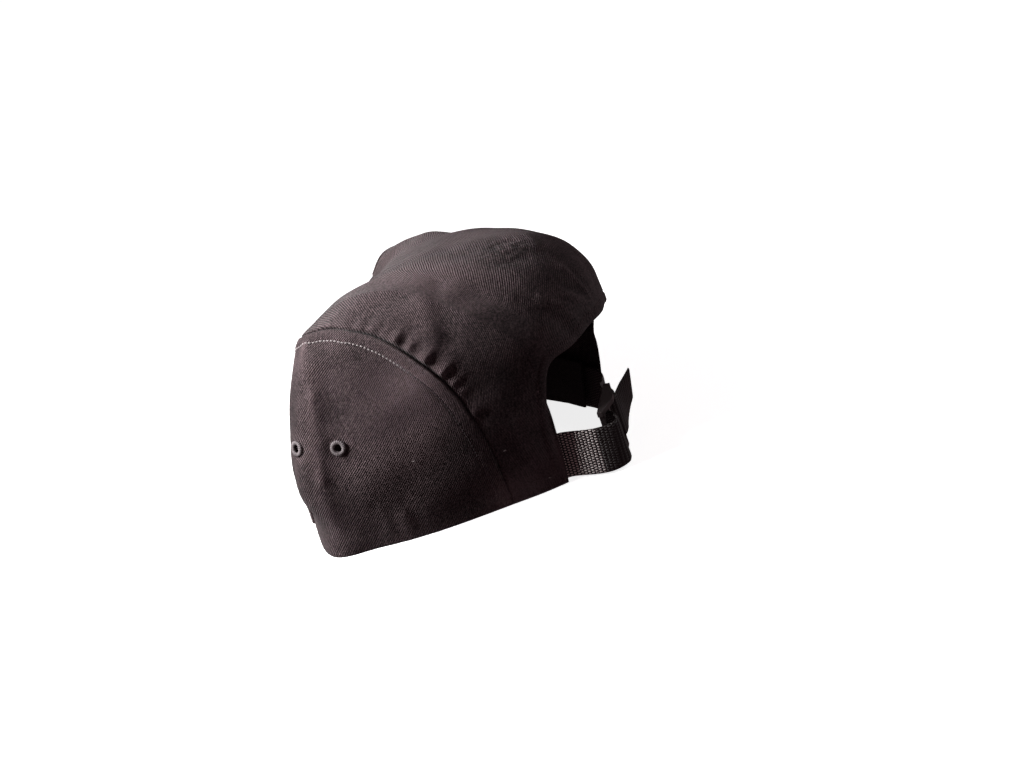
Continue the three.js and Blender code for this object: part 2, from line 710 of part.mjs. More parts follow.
// Buckle: two side rails, wedge-shaped seen from the end, joined by three upright bars
function buckleGeometry() {
  const outline = new THREE.Shape(BUCKLE_RAIL.map(({ x, y }) => new THREE.Vector2(x, y)));
  const solids = [-1, 1].map((side) => {
    const rail = new THREE.ExtrudeGeometry(outline, { depth: BUCKLE.railHeight, bevelEnabled: false });
    rail.translate(0, 0, side > 0 ? BUCKLE.opening / 2 : -BUCKLE.opening / 2 - BUCKLE.railHeight);
    return rail;
  });
  for (const { x, width } of BUCKLE_BARS) {
    const bar = new THREE.BoxGeometry(width, BUCKLE.barDepth, BUCKLE.opening + BUCKLE.railHeight);
    bar.translate(x, 0, 0);
    solids.push(bar);
  }
  const joined = solids.map((solid) => {
    solid.deleteAttribute("normal");
    solid.deleteAttribute("uv");
    return toManifold(mergeVertices(solid));
  });
  const geometry = toGeometry(joined.reduce((whole, solid) => whole.add(solid)));
  return geometry.applyMatrix4(buckleFrame);
}
addPiece("buckle", buckleGeometry(), PLASTIC);

export default cap;
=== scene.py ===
"""A soft camp cap on its rim: twill crown, stitched eyelets, turned-up peak, webbing strap and buckle.

Shapes are worked out in millimetres, front towards -Y and the wearer's left towards +X. to_row puts
them in the frame's metres. Places on the crown are a bearing, in rows of CROWN counted from the rear
centre round by the wearer's left, and a level, 0 at the rim and 4 at the highest point. Relief is a
rise in millimetres, and paleness is how much paler than the rest a place of the cloth is: partly real
fading and worn cloth, partly painted light and shade, and on the webbing painted glints.
"""

import bpy
import numpy as np
from mathutils import Matrix


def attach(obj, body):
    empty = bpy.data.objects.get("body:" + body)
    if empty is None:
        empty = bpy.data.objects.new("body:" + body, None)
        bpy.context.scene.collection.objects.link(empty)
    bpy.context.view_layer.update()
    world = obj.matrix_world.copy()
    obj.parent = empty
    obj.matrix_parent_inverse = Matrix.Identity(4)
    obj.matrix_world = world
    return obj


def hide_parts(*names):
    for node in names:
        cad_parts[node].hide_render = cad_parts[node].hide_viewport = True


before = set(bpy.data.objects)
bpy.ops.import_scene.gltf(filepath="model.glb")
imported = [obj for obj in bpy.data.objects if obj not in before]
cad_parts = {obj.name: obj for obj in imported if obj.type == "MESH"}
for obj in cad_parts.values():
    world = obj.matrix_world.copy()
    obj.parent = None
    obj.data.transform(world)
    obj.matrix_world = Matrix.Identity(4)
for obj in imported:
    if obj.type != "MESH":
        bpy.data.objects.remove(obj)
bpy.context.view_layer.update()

ORIGIN = np.array([0.71, 45.94, 0.0])
MILLIMETRE = 0.001
CLOTH = 1.6

# Crown: hoops from the rim to the highest point, each row a bearing and each point x, y, z
CROWN = np.array(
    [
        [[0, 146, 0], [0, 139, 43], [0, 134, 87], [0, 106, 117]],
        [[42, 111, 0], [41, 114, 45], [39, 117, 89], [26, 96, 115]],
        [[63, 81, 0], [68, 82, 45], [64, 80, 92], [37, 74, 118]],
        [[81, 50, 0], [85, 51, 45], [75, 49, 97], [41, 48, 119]],
        [[91, 22, 0], [95, 22, 46], [81, 25, 99], [48, 26, 117]],
        [[95, -4, 0], [95, -7, 46], [78, 2, 97], [50, 9, 112]],
        [[57, -29, 0], [57, -27, 42], [48, -11, 92], [28, 2, 107]],
        [[0, -48, 0], [0, -42, 42], [0, -27, 88], [0, 1, 105]],
        [[-57, -29, 0], [-57, -26, 42], [-48, -13, 90], [-27, 3, 104]],
        [[-95, -4, 0], [-95, -4, 43], [-80, 1, 96], [-48, 12, 108]],
        [[-91, 22, 0], [-95, 23, 45], [-81, 26, 97], [-46, 28, 113]],
        [[-81, 50, 0], [-85, 51, 45], [-75, 50, 95], [-40, 48, 117]],
        [[-63, 81, 0], [-68, 83, 45], [-64, 83, 92], [-37, 74, 117]],
        [[-42, 111, 0], [-42, 118, 45], [-40, 123, 89], [-26, 98, 115]],
    ],
    float,
)
CROWN_PEAK = np.array([0.0, 54.0, 120.0])
BEARINGS = len(CROWN)
LEVELS = 4

# Seams and the arch on the left half: bearing, level
FRONT_SEAM_BEARING = 5.75
FRONT_SEAM_LEVEL = 2.4
SIDE_SEAM = [
    (5.75, 2.4),
    (5.2, 2.52),
    (4.7, 2.54),
    (4.2, 2.48),
    (3.6, 2.33),
    (3.17, 2.2),
    (2.8, 2.03),
    (2.52, 1.85),
    (2.28, 1.64),
    (2.12, 1.4),
]
REAR_SEAM = [(2.12, 1.4), (1.97, 0.9), (1.91, 0.45), (1.88, 0)]
FRONT_UPRIGHT = [(5.75, 0), (5.75, 0.8), (5.75, 1.6), (5.75, 2.4)]
ARCH = [(1.04, 0), (1.1, 0.4), (1.12, 0.8), (1.1, 1.12), (1.0, 1.4), (0.7, 1.49), (0.36, 1.6), (0, 1.63)]
SEAM_FOOT, ARCH_FOOT = REAR_SEAM[-1][0], ARCH[0][0]

# Folds in the crown's outline: from, to, width, rise
FOLDS = [
    ((4.8, 0.7), (4.5, 1.9), 9, 1.6),
    ((4.9, 0.35), (5.5, 0.45), 13, -2.6),
    ((5.6, 2.75), (8.4, 2.75), 13, -2.4),
    ((4.2, 3.1), (2.6, 3.0), 14, 1.6),
    ((8.8, 2.5), (10.3, 2.8), 13, 4.8),
    ((10.4, 1.3), (11.4, 1.1), 18, -2.5),
    ((0.7, 1.85), (1.5, 2.6), 9, -1.2),
    ((13.3, 1.85), (12.5, 2.6), 9, -1.2),
    ((13.65, 1.72), (14.3, 1.78), 11, -2.3),
]
FOLD_FADE = 12.0

# Small creases in the cloth: from, to, width, rise
CREASES = [
    ((4.68, 2.3), (4.45, 1.68), 2.6, 1.0),
    ((4.45, 1.68), (4.5, 0.95), 3.2, 0.9),
    ((4.5, 0.95), (4.65, 0.3), 4.0, 0.7),
    ((4.25, 2.15), (4.1, 1.5), 6.0, -0.7),
    ((4.95, 1.9), (5.0, 1.5), 5.0, -0.8),
    ((3.6, 1.95), (3.2, 1.75), 10.0, -0.9),
    ((3.3, 0.6), (2.5, 0.9), 12.0, -0.8),
    ((2.16, 2.75), (2.04, 2.05), 5.0, -1.5),
    ((2.45, 2.6), (2.3, 2.2), 5.0, 0.7),
    ((1.75, 2.5), (1.2, 1.95), 9.0, -0.8),
    ((1.68, 1.25), (1.25, 0.85), 8.0, 0.6),
    ((1.75, 0.7), (1.3, 0.2), 5.0, -0.5),
    ((1.5, 0.95), (1.4, 0.35), 4.0, 0.5),
    ((0.24, 2.4), (0.08, 1.85), 2.2, 1.0),
    ((0.12, 2.3), (0.02, 1.85), 1.8, -0.8),
    ((0.52, 2.1), (0.2, 1.83), 2.0, 1.1),
    ((0.42, 2.2), (0.16, 1.95), 1.8, -0.9),
    ((0.72, 2.0), (0.34, 1.72), 1.9, -0.9),
    ((0.85, 2.2), (0.5, 1.8), 2.6, 0.8),
    ((1.1, 2.3), (0.62, 1.62), 3.6, -0.7),
    ((13.5, 2.4), (13.8, 1.85), 3.0, -0.7),
    ((0.75, 3.1), (0.4, 3.05), 2.0, 0.4),
    ((0.5, 3.25), (0.1, 3.1), 1.8, -0.5),
    ((0.35, 2.95), (0.15, 2.8), 2.0, 0.5),
    ((0.9, 2.95), (0.55, 2.8), 2.6, -0.5),
    ((13.7, 3.0), (0.05, 2.85), 2.0, 0.5),
    ((3.0, 2.9), (2.5, 2.75), 8.0, -0.7),
    ((3.95, 0.03), (3.85, 0.5), 3.6, -0.3),
    ((3.62, 0.02), (3.6, 0.42), 3.0, -0.35),
    ((3.4, 0.02), (3.42, 0.35), 2.8, 0.25),
    ((3.2, 0.05), (3.3, 0.5), 3.2, -0.3),
    ((9.35, 2.2), (9.5, 1.0), 4.0, 0.8),
    ((9.8, 2.0), (10.0, 1.3), 6.0, -0.7),
    ((11.9, 2.6), (12.1, 2.0), 5.0, -1.1),
    ((12.5, 1.2), (12.7, 0.7), 7.0, -0.6),
    ((6.6, 1.9), (7.4, 2.1), 8.0, -0.7),
]

# Cloth made paler or darker, partly by real fading and partly by painted light and shade, with painted
# highlights along a crease's crest: from, to, width, amount
FADES_AND_PAINTED_LIGHT = [
    ((2.75, 1.55), (3.3, 1.0), 20, 0.3),
    ((2.5, 1.55), (2.8, 0.95), 10, 0.24),
    ((4.9, 2.9), (4.7, 1.4), 10, -0.1),
    ((4.2, 2.9), (3.0, 2.75), 18, 0.04),
    ((3.0, 3.3), (1.8, 3.0), 13, 0.12),
    ((1.95, 1.7), (1.45, 1.2), 12, -0.14),
    ((3.4, 3.2), (2.0, 2.9), 16, 0.16),
    ((0.9, 2.95), (0.25, 2.6), 18, -0.16),
    ((1.95, 0.15), (1.1, 0.25), 11, 0.42),
    ((5.0, 0.2), (4.0, 0.35), 14, -0.06),
    ((2.7, 0.5), (2.2, 0.9), 12, -0.06),
    ((5.2, 1.5), (5.1, 0.7), 15, -0.2),
    ((1.95, 0.12), (1.9, 0.2), 4, 0.22),
    ((1.12, 0.62), (1.05, 0.12), 1.3, 0.24),
    # Painted highlights along the crest of the crease on the wearer's left
    ((4.68, 2.3), (4.45, 1.68), 2.0, 0.14),
    ((4.45, 1.68), (4.5, 0.95), 2.6, 0.1),
]

# Gathers above the side seam: bearing on the seam, rise, width
PUCKERS = [
    (4.1, 0.2, 3.6),
    (3.72, 0.35, 3.2),
    (3.4, 0.5, 2.8),
    (3.16, 0.55, 2.9),
    (2.97, 0.35, 2.6),
    (2.8, 1.5, 3.0),
    (2.62, 0.8, 2.7),
    (2.43, 1.45, 2.9),
    (2.27, 1.4, 2.7),
    (2.18, 0.7, 2.6),
    (2.12, 0.5, 3.0),
    (2.04, 0.6, 3.6),
]
PUCKER_REACH = 8.0
PUCKER_START = 1.4
PUCKER_CREST = 2.33
GATHERING = {1: 1.0, -1: 0.7}

# Seams: how deep and wide their dip is, and how slack the side seam is below a bearing
SEAM_DEPTH = 1.3
SEAM_SPREAD = 0.7
SEAM_SLACK = 0.35
SLACK_BEARING, SLACK_RUN = 1.98, 0.16

# Stitched bands and the hem: width, rise, the step at the edge, and the line of stitching
TOPSTITCH, TOPSTITCH_RISE = 7.2, 0.45
HEM, HEM_RISE = 5.5, 0.35
STEP_WIDTH = 1.2
STITCH_LINE_DEPTH, STITCH_LINE_WIDTH = 0.35, 0.7
EDGE_DEPTH, EDGE_SPREAD = 0.6, 0.8

# A small patch of crushed cloth, as place, height, width and two waves: pitch, sway, pitch of sway
RUMPLE_PLACE = (0.42, 3.12)
RUMPLE_HEIGHT, RUMPLE_WIDTH = 0.8, 13.0
RUMPLE_WAVES = ((1.0, 1.3, 2.1), (1.4, 1.1, 1.9))

# Slow swell of soft cloth: three waves as their rate along x, y and z
DRIFT_WAYS = np.array([[1 / 7.3, 1 / 9.1, 0], [0, -1 / 11.7, 1 / 8.2], [1 / 3.9, 1 / 5.7, -1 / 4.6]])
DRIFT_LARGE, DRIFT_SMALL = 0.22, 0.12

# Paleness: share of the rise with its least and most, crests worn pale and painted shade in hollows,
# painted shade over the crushed patch, and amounts, places and widths along seams and hem
TOP_RUBBING_AND_SHADE = (0.12, -0.25, 0.3)
WALL_RUBBING_AND_SHADE = (0.14, -0.15, 0.3)
GATHER_RUBBING_AND_SHADE = (0.14, -0.2, 0.2)
RUMPLE_SHADE = 0.5
RIDGE_WEAR, SEAM_DARK = 0.08, 0.7
TOP_RIDGE = (2.0, 1.6)
SIDE_RIDGE = (2.2, 1.8)
HEM_WEAR, HEM_WEAR_WIDTH = 0.1, 1.5

# Panels: how the relief fades near the rim and follows through to the inner face, and the painted shade
# that darkens the inner face
RIM_FADE = 10.0
RIM_RELIEF = 0.25
INNER_FOLLOW = 0.8
INNER_SHADE = -0.2

# Stitched eyelets: name, bearing, level
EYELETS = [
    ("eyelet_left_rear", 4.12, 1.22),
    ("eyelet_left_front", 4.87, 1.27),
    ("eyelet_right_rear", 9.88, 1.22),
    ("eyelet_right_front", 9.13, 1.27),
]
EYELET_HOLE = 2.5
EYELET_RING = 2.9
EYELET_TUBE, EYELET_HEIGHT, EYELET_LIFT = 1.05, 0.85, 0.1
EYELET_THREADS, THREAD_SWELL, THREAD_TWIST = 22, 0.13, 0.5
UNEVEN_SWELL, UNEVEN_WAVES, UNEVEN_START = 0.1, 3, 1.0
EYELET_SINK, SINK_REACH, SINK_WIDTH = 0.5, 4.6, 1.6

# Topstitching: spacing, size, lift off the cloth, and where it turns from pale to darker
STITCH_PITCH, STITCH_LENGTH, STITCH_RADIUS, STITCH_LIFT = 2.0, 1.45, 0.44, 0.12
STITCH_RINGS, STITCH_SIDES = 5, 6
PALE_BEARING, PALE_RUN = 2.42, 0.3
ROW_REACH = 0.6
ROW_SMOOTHING = 7

# Specks of lint: bearing, level
LINT = [(3.0, 0.93), (1.78, 0.68), (1.28, 0.15)]
LINT_SIZES = (0.8, 0.35, 0.3)
LINT_LIFT = 0.2
LINT_LEAN = (0.3, 0.2, 1.0)
LINT_RINGS, LINT_SIDES, LINT_END = 6, 8, 0.97
LEAST_GIRTH = 0.02

# Sweatband
BAND_CLOTH = 1.1
BAND_CLEARANCE = 0.7
BAND_END_STEP = 3.4
BAND_EASE = 0.9
BAND_FIRST = 1.3
BAND_FOOT, BAND_TOP = 0.03, 0.62
BAND_ROWS, BAND_QUILT, BAND_QUILT_WIDTH = (0.86, 0.1), 0.25, 0.035
BAND_EDGE_WEAR, BAND_EDGE_WIDTH = 0.3, 0.04
BAND_ALONG, BAND_UP = 601, 25

# Peak
PEAK_BOARD = 2.4
PEAK_CLEARANCE = 0.7
PEAK_LEAN = 1.0
PEAK_FIRST = 6.05
PEAK_END_LEVEL, PEAK_MID_LEVEL = 0.25, 1.52
PEAK_BOW, PEAK_ROUNDING = 2.3, 0.6
PEAK_ROW_PITCH, PEAK_ROW_DEPTH, PEAK_ROW_WIDTH = 7.0, 0.3, 0.6
PEAK_ROWS_FROM, PEAK_ROWS_TO = 2, 36
PEAK_EDGE_DEPTH, PEAK_EDGE_WIDTH = 0.7, 1.0
PEAK_EDGE_WEAR, PEAK_WEAR_WIDTH = 0.4, 1.4
PEAK_ALONG, PEAK_UP = 261, 111

# Webbing: section, ribs, and paths as x, y, z of the middle and the upper edge's tip along x and y
WEBBING_WIDTH = 25.0
WEBBING_THICKNESS = 1.3
WEBBING_EDGE, WEBBING_SQUARENESS = 0.15, 16
WEBBING_ACROSS = 27
# Painted glint on the picks all along each strap, and the run over which more of it comes in and goes out
WEBBING_GLINT, GLINT_RAMP = 0.03, 4
RIB_PITCH, RIB_DEPTH = 2.0, 0.1
BUCKLE_PLACE = (19.0, 131.6, 18.4)
BUCKLE_TURN = 3.0
BUCKLE_PITCH = 10.0
LONG_STRAP_FREE = [
    (49.6, 97.5, 13.6, 0, 0),
    (47.5, 100.3, 13.6, 0, 0),
    (45.1, 103.3, 13.6, 0, 0),
    (41, 108, 13.6, 0, 0),
    (39.6, 111.5, 13.6, 0, 0),
    (39.7, 117, 13.6, 0, 0),
    (40.5, 123, 13.7, 0, 0),
    (40.6, 128.5, 13.8, 0, 0),
    (39.4, 133.5, 13.9, 0, 0),
    (36.8, 138, 14.3, 0.4, 0),
    (33.6, 140.4, 15, 1, -0.4),
    (30.4, 139.7, 15.9, 1.6, -0.4),
]
LONG_STRAP_THREADED = [
    (8.6, 4.8, 0, 0, 0),
    (6.8, 2, 0, 0, 0),
    (5, -0.8, 0, 0, 0),
    (2.6, -2.6, 0, 0, 0),
    (-0.6, -2.8, 0, 0, 0),
    (-3, -1.4, 0, 0, 0),
    (-4.4, 1.2, 0, 0, 0),
    (-6.4, 3.7, 0, 0, 0),
    (-9.4, 4.6, 0.4, 0.4, 0),
    (-12.6, 5, 1.4, 1.4, 0.6),
    (-16, 5.8, 2.8, 2.4, 1.2),
    (-20, 7.3, 4.6, 3.2, 2),
    (-24.2, 9.2, 6.8, 3.8, 2.6),
]
SHORT_STRAP_THREADED = [
    (-18.8, -2.95, 0, 0, 0),
    (-15.7, -1.2, 0, 0, 0),
    (-14, 0.9, 0, 0, 0),
    (-12.4, 2.3, 0, 0, 0),
    (-10.2, 2.8, 0, 0, 0),
    (-7.9, 2, 0, 0, 0),
    (-7.1, 0, 0, 0, 0),
    (-8, -1.9, 0, 0, 0),
    (-10.2, -2.7, 0, 0, 0),
    (-13.4, -3.1, 0, 0, 0),
    (-16.6, -4, 0, 0, 0),
    (-19.6, -5.2, 0, 0, 0),
]
SHORT_STRAP_FREE = [
    (-9, 123.6, 18.6, 1.2, 0),
    (-18, 120.8, 16.6, 0, 0),
    (-27, 118, 14.4, -0.4, 0.3),
    (-35, 114.6, 13.6, -0.6, 0.5),
    (-41, 109.5, 13.6, -0.9, 0.8),
    (-45.4, 104.6, 13.6, -0.9, 0.8),
    (-47.9, 101.5, 13.6, -0.9, 0.8),
    (-50.1, 98.5, 13.6, -0.9, 0.8),
]

# Steps of each strap, and the lengths of it with painted glints on its picks: start, end, amount
LONG_STRAP_STEPS, LONG_STRAP_GLINTS = 620, [(11, 33, 1.9)]
SHORT_STRAP_STEPS, SHORT_STRAP_GLINTS = 460, [(30, 60, 0.12)]

# Buckle's rounded edges, in metres and degrees
WELD_REACH = 0.00001
BEVEL_WIDTH, BEVEL_STEPS, BEVEL_ANGLE = 0.0004, 3, 30


def to_row(points):
    """Points in the frame's metres: less the origin, times a thousandth."""
    return (points - ORIGIN) * MILLIMETRE


def unit(v):
    """Vectors scaled to a length of one."""
    return v / np.linalg.norm(v, axis=-1, keepdims=True)


def bell(away, spread):
    """Rounded bump: exp(-(away / spread) squared)."""
    return np.exp(-((away / spread) ** 2))


def smooth_step(x):
    """Rise from 0 to 1 with level ends: x squared times (3 - 2 x)."""
    x = np.clip(x, 0, 1)
    return x * x * (3 - 2 * x)


def run_length(path):
    """Length along a path up to each of its points."""
    return np.concatenate([[0], np.cumsum(np.linalg.norm(np.diff(path, axis=0), axis=1))])


def cubic(a, b, c, d, f):
    """Catmull-Rom cubic through four points in turn, at f between the middle two."""
    return 0.5 * (2 * b + (c - a) * f + (2 * a - 5 * b + 4 * c - d) * f**2 + (3 * b - a - 3 * c + d) * f**3)


def along_curve(rows, count):
    """count + 1 points of the cubic through rows, by equal steps of row number."""
    rows = np.asarray(rows, float)
    rows = np.concatenate([[2 * rows[0] - rows[1]], rows, [2 * rows[-1] - rows[-2]]])
    t = np.linspace(0, 1, count + 1) * (len(rows) - 3)
    i = np.clip(np.floor(t).astype(int), 0, len(rows) - 4)
    return cubic(rows[i], rows[i + 1], rows[i + 2], rows[i + 3], (t - i)[:, None])


def ring_point(level, bearing):
    """Point of one hoop level at a bearing, by the cubic through the four nearest rows round the crown."""
    i = np.floor(bearing).astype(int)
    a, b, c, d = (CROWN[(i + k) % BEARINGS, level] for k in (-1, 0, 1, 2))
    return cubic(a, b, c, d, (bearing - i)[..., None])


def smooth_crown(bearing, level):
    """Point of the hoop that runs from the rim over the highest point and down the far side."""
    near = [ring_point(k, bearing) for k in range(4)]
    far = [ring_point(k, bearing + BEARINGS / 2) for k in (2, 3)]
    peak = np.broadcast_to(CROWN_PEAK, near[0].shape)
    hoop = np.stack([2 * near[0] - near[1], *near, peak, far[1], far[0]])
    i = np.clip(np.floor(level).astype(int), 0, len(hoop) - 4)
    a, b, c, d = (np.take_along_axis(hoop, (i + k)[None, ..., None], 0)[0] for k in range(4))
    return cubic(a, b, c, d, (level - i)[..., None])


def to_plan(bearing, level):
    """Flat plan of the crown: the level counted from the highest point is the distance from the middle."""
    turn = 2 * np.pi * np.asarray(bearing, float) / BEARINGS
    reach = 1 - np.asarray(level, float) / LEVELS
    return np.stack([reach * np.sin(turn), reach * np.cos(turn)], -1)


def plan_bearing(plan):
    """Bearing of each place of the plan, which is its angle about the middle."""
    return np.arctan2(plan[..., 0], plan[..., 1]) * BEARINGS / (2 * np.pi)


def plan_point(plan):
    """Point of the smooth crown at each place of the plan."""
    return smooth_crown(plan_bearing(plan), LEVELS * (1 - np.hypot(plan[..., 0], plan[..., 1])))


def plan_normal(plan, step=0.004):
    """Outward direction: the cross product of the two differences along the plan's axes."""
    east = plan_point(plan + [step, 0]) - plan_point(plan - [step, 0])
    north = plan_point(plan + [0, step]) - plan_point(plan - [0, step])
    return unit(np.cross(east, north))


def ridge_sum(points, table):
    """Sum over rows of rise times a bell of the distance to the row's line, as wide as the row says."""
    total = np.zeros(points.shape[:-1])
    for start, end, width, rise in table:
        a, b = smooth_crown(*np.array([start, end], float).T)
        run = b - a
        t = np.clip((points - a) @ run / (run @ run), 0, 1)
        total += rise * bell(np.linalg.norm(points - a - t[..., None] * run, axis=-1), width)
    return total


def shell_at(plan):
    """Outer face of the crown and its outward direction; the folds fade out at the rim."""
    point = plan_point(plan)
    normal = plan_normal(plan)
    fade = np.minimum(point[..., 2] / FOLD_FADE, 1)
    return point + normal * (fade * ridge_sum(point, FOLDS))[..., None], normal


def place_on_shell(bearing, level):
    """One place on the crown's outer face, and its outward direction."""
    point, normal = shell_at(to_plan(bearing, level)[None])
    return point[0], normal[0]


def plan_curve(rows, count):
    """count + 1 places of the plan along the cubic through rows of bearing and level."""
    return along_curve([to_plan(*row) for row in rows], count)


def rim_curve(first, last, count):
    """count + 1 places of the plan along the rim from one bearing to another."""
    return to_plan(np.linspace(first, last, count + 1), np.zeros(count + 1))


def mirror(curve):
    """The same places of the plan on the other half."""
    return curve * [-1, 1]


def front_seam_plan(count):
    """Places of the plan along the seam over the front panel."""
    bearing = np.linspace(FRONT_SEAM_BEARING, BEARINGS - FRONT_SEAM_BEARING, count)
    return to_plan(bearing, np.full(count, FRONT_SEAM_LEVEL))


def fill_patch(low, high, first, last):
    """Coons patch: the two lofts between opposite borders, less the bilinear sheet of the corners."""
    s = np.linspace(0, 1, len(low))[:, None, None]
    t = np.linspace(0, 1, len(first))[None, :, None]
    lofts = (1 - t) * low[:, None] + t * high[:, None] + (1 - s) * first[None] + s * last[None]
    corners = (1 - s) * ((1 - t) * low[0] + t * high[0]) + s * ((1 - t) * low[-1] + t * high[-1])
    return lofts - corners


def facing_out(plan):
    """The plan in the order whose cells turn anticlockwise seen from outside."""
    i, j = plan.shape[0] // 2, plan.shape[1] // 2
    along, up = plan[i + 1, j] - plan[i, j], plan[i, j + 1] - plan[i, j]
    return plan if along[0] * up[1] - along[1] * up[0] > 0 else plan[::-1]


def nearest(curve, points):
    """Distance from each point to the nearest of a dense curve's points, and that point's number."""
    away = np.empty(points.shape[:2])
    which = np.empty(points.shape[:2], int)
    square = (curve**2).sum(-1)
    for i, row in enumerate(points):
        d = (row**2).sum(-1)[:, None] - 2 * row @ curve.T + square
        which[i] = d.argmin(1)
        away[i] = np.sqrt(np.maximum(d.min(1), 0))
    return away, which


# Seams as dense rows of points on the crown, with the side seam's bearings
side_seam_plan = np.concatenate([plan_curve(SIDE_SEAM, 1200), plan_curve(REAR_SEAM, 400)])
arch_plan = plan_curve(ARCH, 600)
SEAM_BEARING = np.abs(plan_bearing(side_seam_plan))
SEAMS = {side: shell_at(side_seam_plan * [side, 1])[0] for side in (1, -1)}
FRONT_SEAM = shell_at(front_seam_plan(800))[0]
UPRIGHT_SEAMS = {side: shell_at(plan_curve(FRONT_UPRIGHT, 500) * [side, 1])[0] for side in (1, -1)}
ARCH_EDGE = shell_at(np.concatenate([arch_plan, mirror(arch_plan)]))[0]
EYELET_PLACES = {name: place_on_shell(bearing, level) for name, bearing, level in EYELETS}


def seam_dip(away):
    """The cloth's edge rolls down into its seam."""
    return -SEAM_DEPTH * bell(away, SEAM_SPREAD)


def seam_wear(away, ridge):
    """Rubbed cloth beside a seam, at a distance and width, and the dark line of the seam itself."""
    place, width = ridge
    return RIDGE_WEAR * bell(away - place, width) - SEAM_DARK * bell(away, SEAM_SPREAD)


def seam_tightness(which):
    """How tightly the side seam draws its cloth in: wholly above, a little below where it turns down."""
    return SEAM_SLACK + (1 - SEAM_SLACK) * smooth_step((SEAM_BEARING[which] - SLACK_BEARING) / SLACK_RUN)


def stitched_band(away, reach, rise):
    """A raised band as wide as reach along an edge, with a sunk line of stitching at its far side."""
    band = rise * (1 - smooth_step((away - reach) / STEP_WIDTH + 0.5))
    return band - STITCH_LINE_DEPTH * bell(away - reach, STITCH_LINE_WIDTH)


def gathers(seam, away, which):
    """Folds drawn in by a seam: -x exp(-x squared) along it for each fold, fading with distance.
    PUCKER_CREST makes that product's highest value one."""
    length = run_length(seam)
    total = np.zeros(away.shape)
    for bearing, rise, width in PUCKERS:
        x = (length[which] - length[np.abs(SEAM_BEARING - bearing).argmin()]) / width
        total -= PUCKER_CREST * rise * x * np.exp(-(x**2))
    return total * bell(away, PUCKER_REACH) * (1 - np.exp(-away / PUCKER_START))


def swaying_wave(a, b, pitch, sway, sway_pitch):
    """A wave along a that sways to and fro along b: sin(a / pitch + sway sin(b / sway_pitch))."""
    return np.sin(a / pitch + sway * np.sin(b / sway_pitch))


def rumple(points):
    """A small patch of crushed cloth near the top: two crossed waves under a round hump of height."""
    middle, _ = place_on_shell(*RUMPLE_PLACE)
    x, y = points[..., 0], points[..., 1]
    waves = swaying_wave(x, y, *RUMPLE_WAVES[0]) * swaying_wave(y, x, *RUMPLE_WAVES[1])
    return RUMPLE_HEIGHT * waves * bell(np.linalg.norm(points - middle, axis=-1), RUMPLE_WIDTH)


def drift(points):
    """Slow uneven swell of soft cloth: two slow waves multiplied, and a quicker one added."""
    first, second, quick = np.moveaxis(np.sin(points @ DRIFT_WAYS.T), -1, 0)
    return DRIFT_LARGE * first * second + DRIFT_SMALL * quick


def rubbed_and_shaded(rise, rubbing_and_shade):
    """Paleness that goes with the rise: a share of it, kept between a least and a most, so crests are worn
    pale and hollows get painted shade.
    """
    share, least, most = rubbing_and_shade
    return np.clip(rise * share, least, most)


def top_relief(point):
    """Creases, gathers and seam dips of the top panel, with its hemmed arch edge."""
    crushed = rumple(point)
    rise = ridge_sum(point, CREASES) + drift(point) + crushed
    share, least, most = TOP_RUBBING_AND_SHADE
    # Paleness: crests worn pale and painted shade in hollows, painted shade over the crushed patch, and
    # fading with painted light and shade
    paleness = np.clip(rise * share - np.abs(crushed) * RUMPLE_SHADE, least, most) + ridge_sum(point, FADES_AND_PAINTED_LIGHT)
    for side, seam in SEAMS.items():
        away, which = nearest(seam, point)
        folds = gathers(seam, away, which) * GATHERING[side]
        tight = seam_tightness(which)
        rise = rise + folds + seam_dip(away) * tight
        # Gathers: crests worn pale and painted shade in their hollows
        paleness = paleness + rubbed_and_shaded(folds, GATHER_RUBBING_AND_SHADE) + tight * seam_wear(away, TOP_RIDGE)
    away, _ = nearest(FRONT_SEAM, point)
    rise = rise + seam_dip(away)
    away, _ = nearest(ARCH_EDGE, point)
    rise = rise + stitched_band(away, HEM, HEM_RISE) - EDGE_DEPTH * bell(away, EDGE_SPREAD)
    return rise, paleness + HEM_WEAR * bell(away, HEM_WEAR_WIDTH)


def side_relief(point):
    """Creases and seam dips of a side panel, with the stitched band under its upper seam."""
    side = 1 if point[..., 0].mean() > 0 else -1
    rise = ridge_sum(point, CREASES) + drift(point)
    # Crests worn pale and painted shade in hollows, plus fading with painted light and shade
    paleness = rubbed_and_shaded(rise, WALL_RUBBING_AND_SHADE) + ridge_sum(point, FADES_AND_PAINTED_LIGHT)
    away, which = nearest(SEAMS[side], point)
    tight = seam_tightness(which)
    rise = rise + (seam_dip(away) + stitched_band(away, TOPSTITCH, TOPSTITCH_RISE)) * tight
    paleness = paleness + tight * seam_wear(away, SIDE_RIDGE)
    away, _ = nearest(UPRIGHT_SEAMS[side], point)
    rise = rise + seam_dip(away)
    for middle, _ in EYELET_PLACES.values():
        away = np.linalg.norm(point - middle, axis=-1)
        rise = rise - EYELET_SINK * bell(away - SINK_REACH, SINK_WIDTH)
    return rise, paleness


def front_relief(point):
    """Creases and seam dips of the front panel."""
    rise = ridge_sum(point, CREASES) + drift(point)
    # Crests worn pale and painted shade in hollows, plus fading with painted light and shade
    paleness = rubbed_and_shaded(rise, WALL_RUBBING_AND_SHADE) + ridge_sum(point, FADES_AND_PAINTED_LIGHT)
    place, width = TOP_RIDGE
    for seam in (FRONT_SEAM, UPRIGHT_SEAMS[1], UPRIGHT_SEAMS[-1]):
        away, _ = nearest(seam, point)
        rise = rise + seam_dip(away)
        paleness = paleness + RIDGE_WEAR * bell(away - place, width)
    return rise, paleness


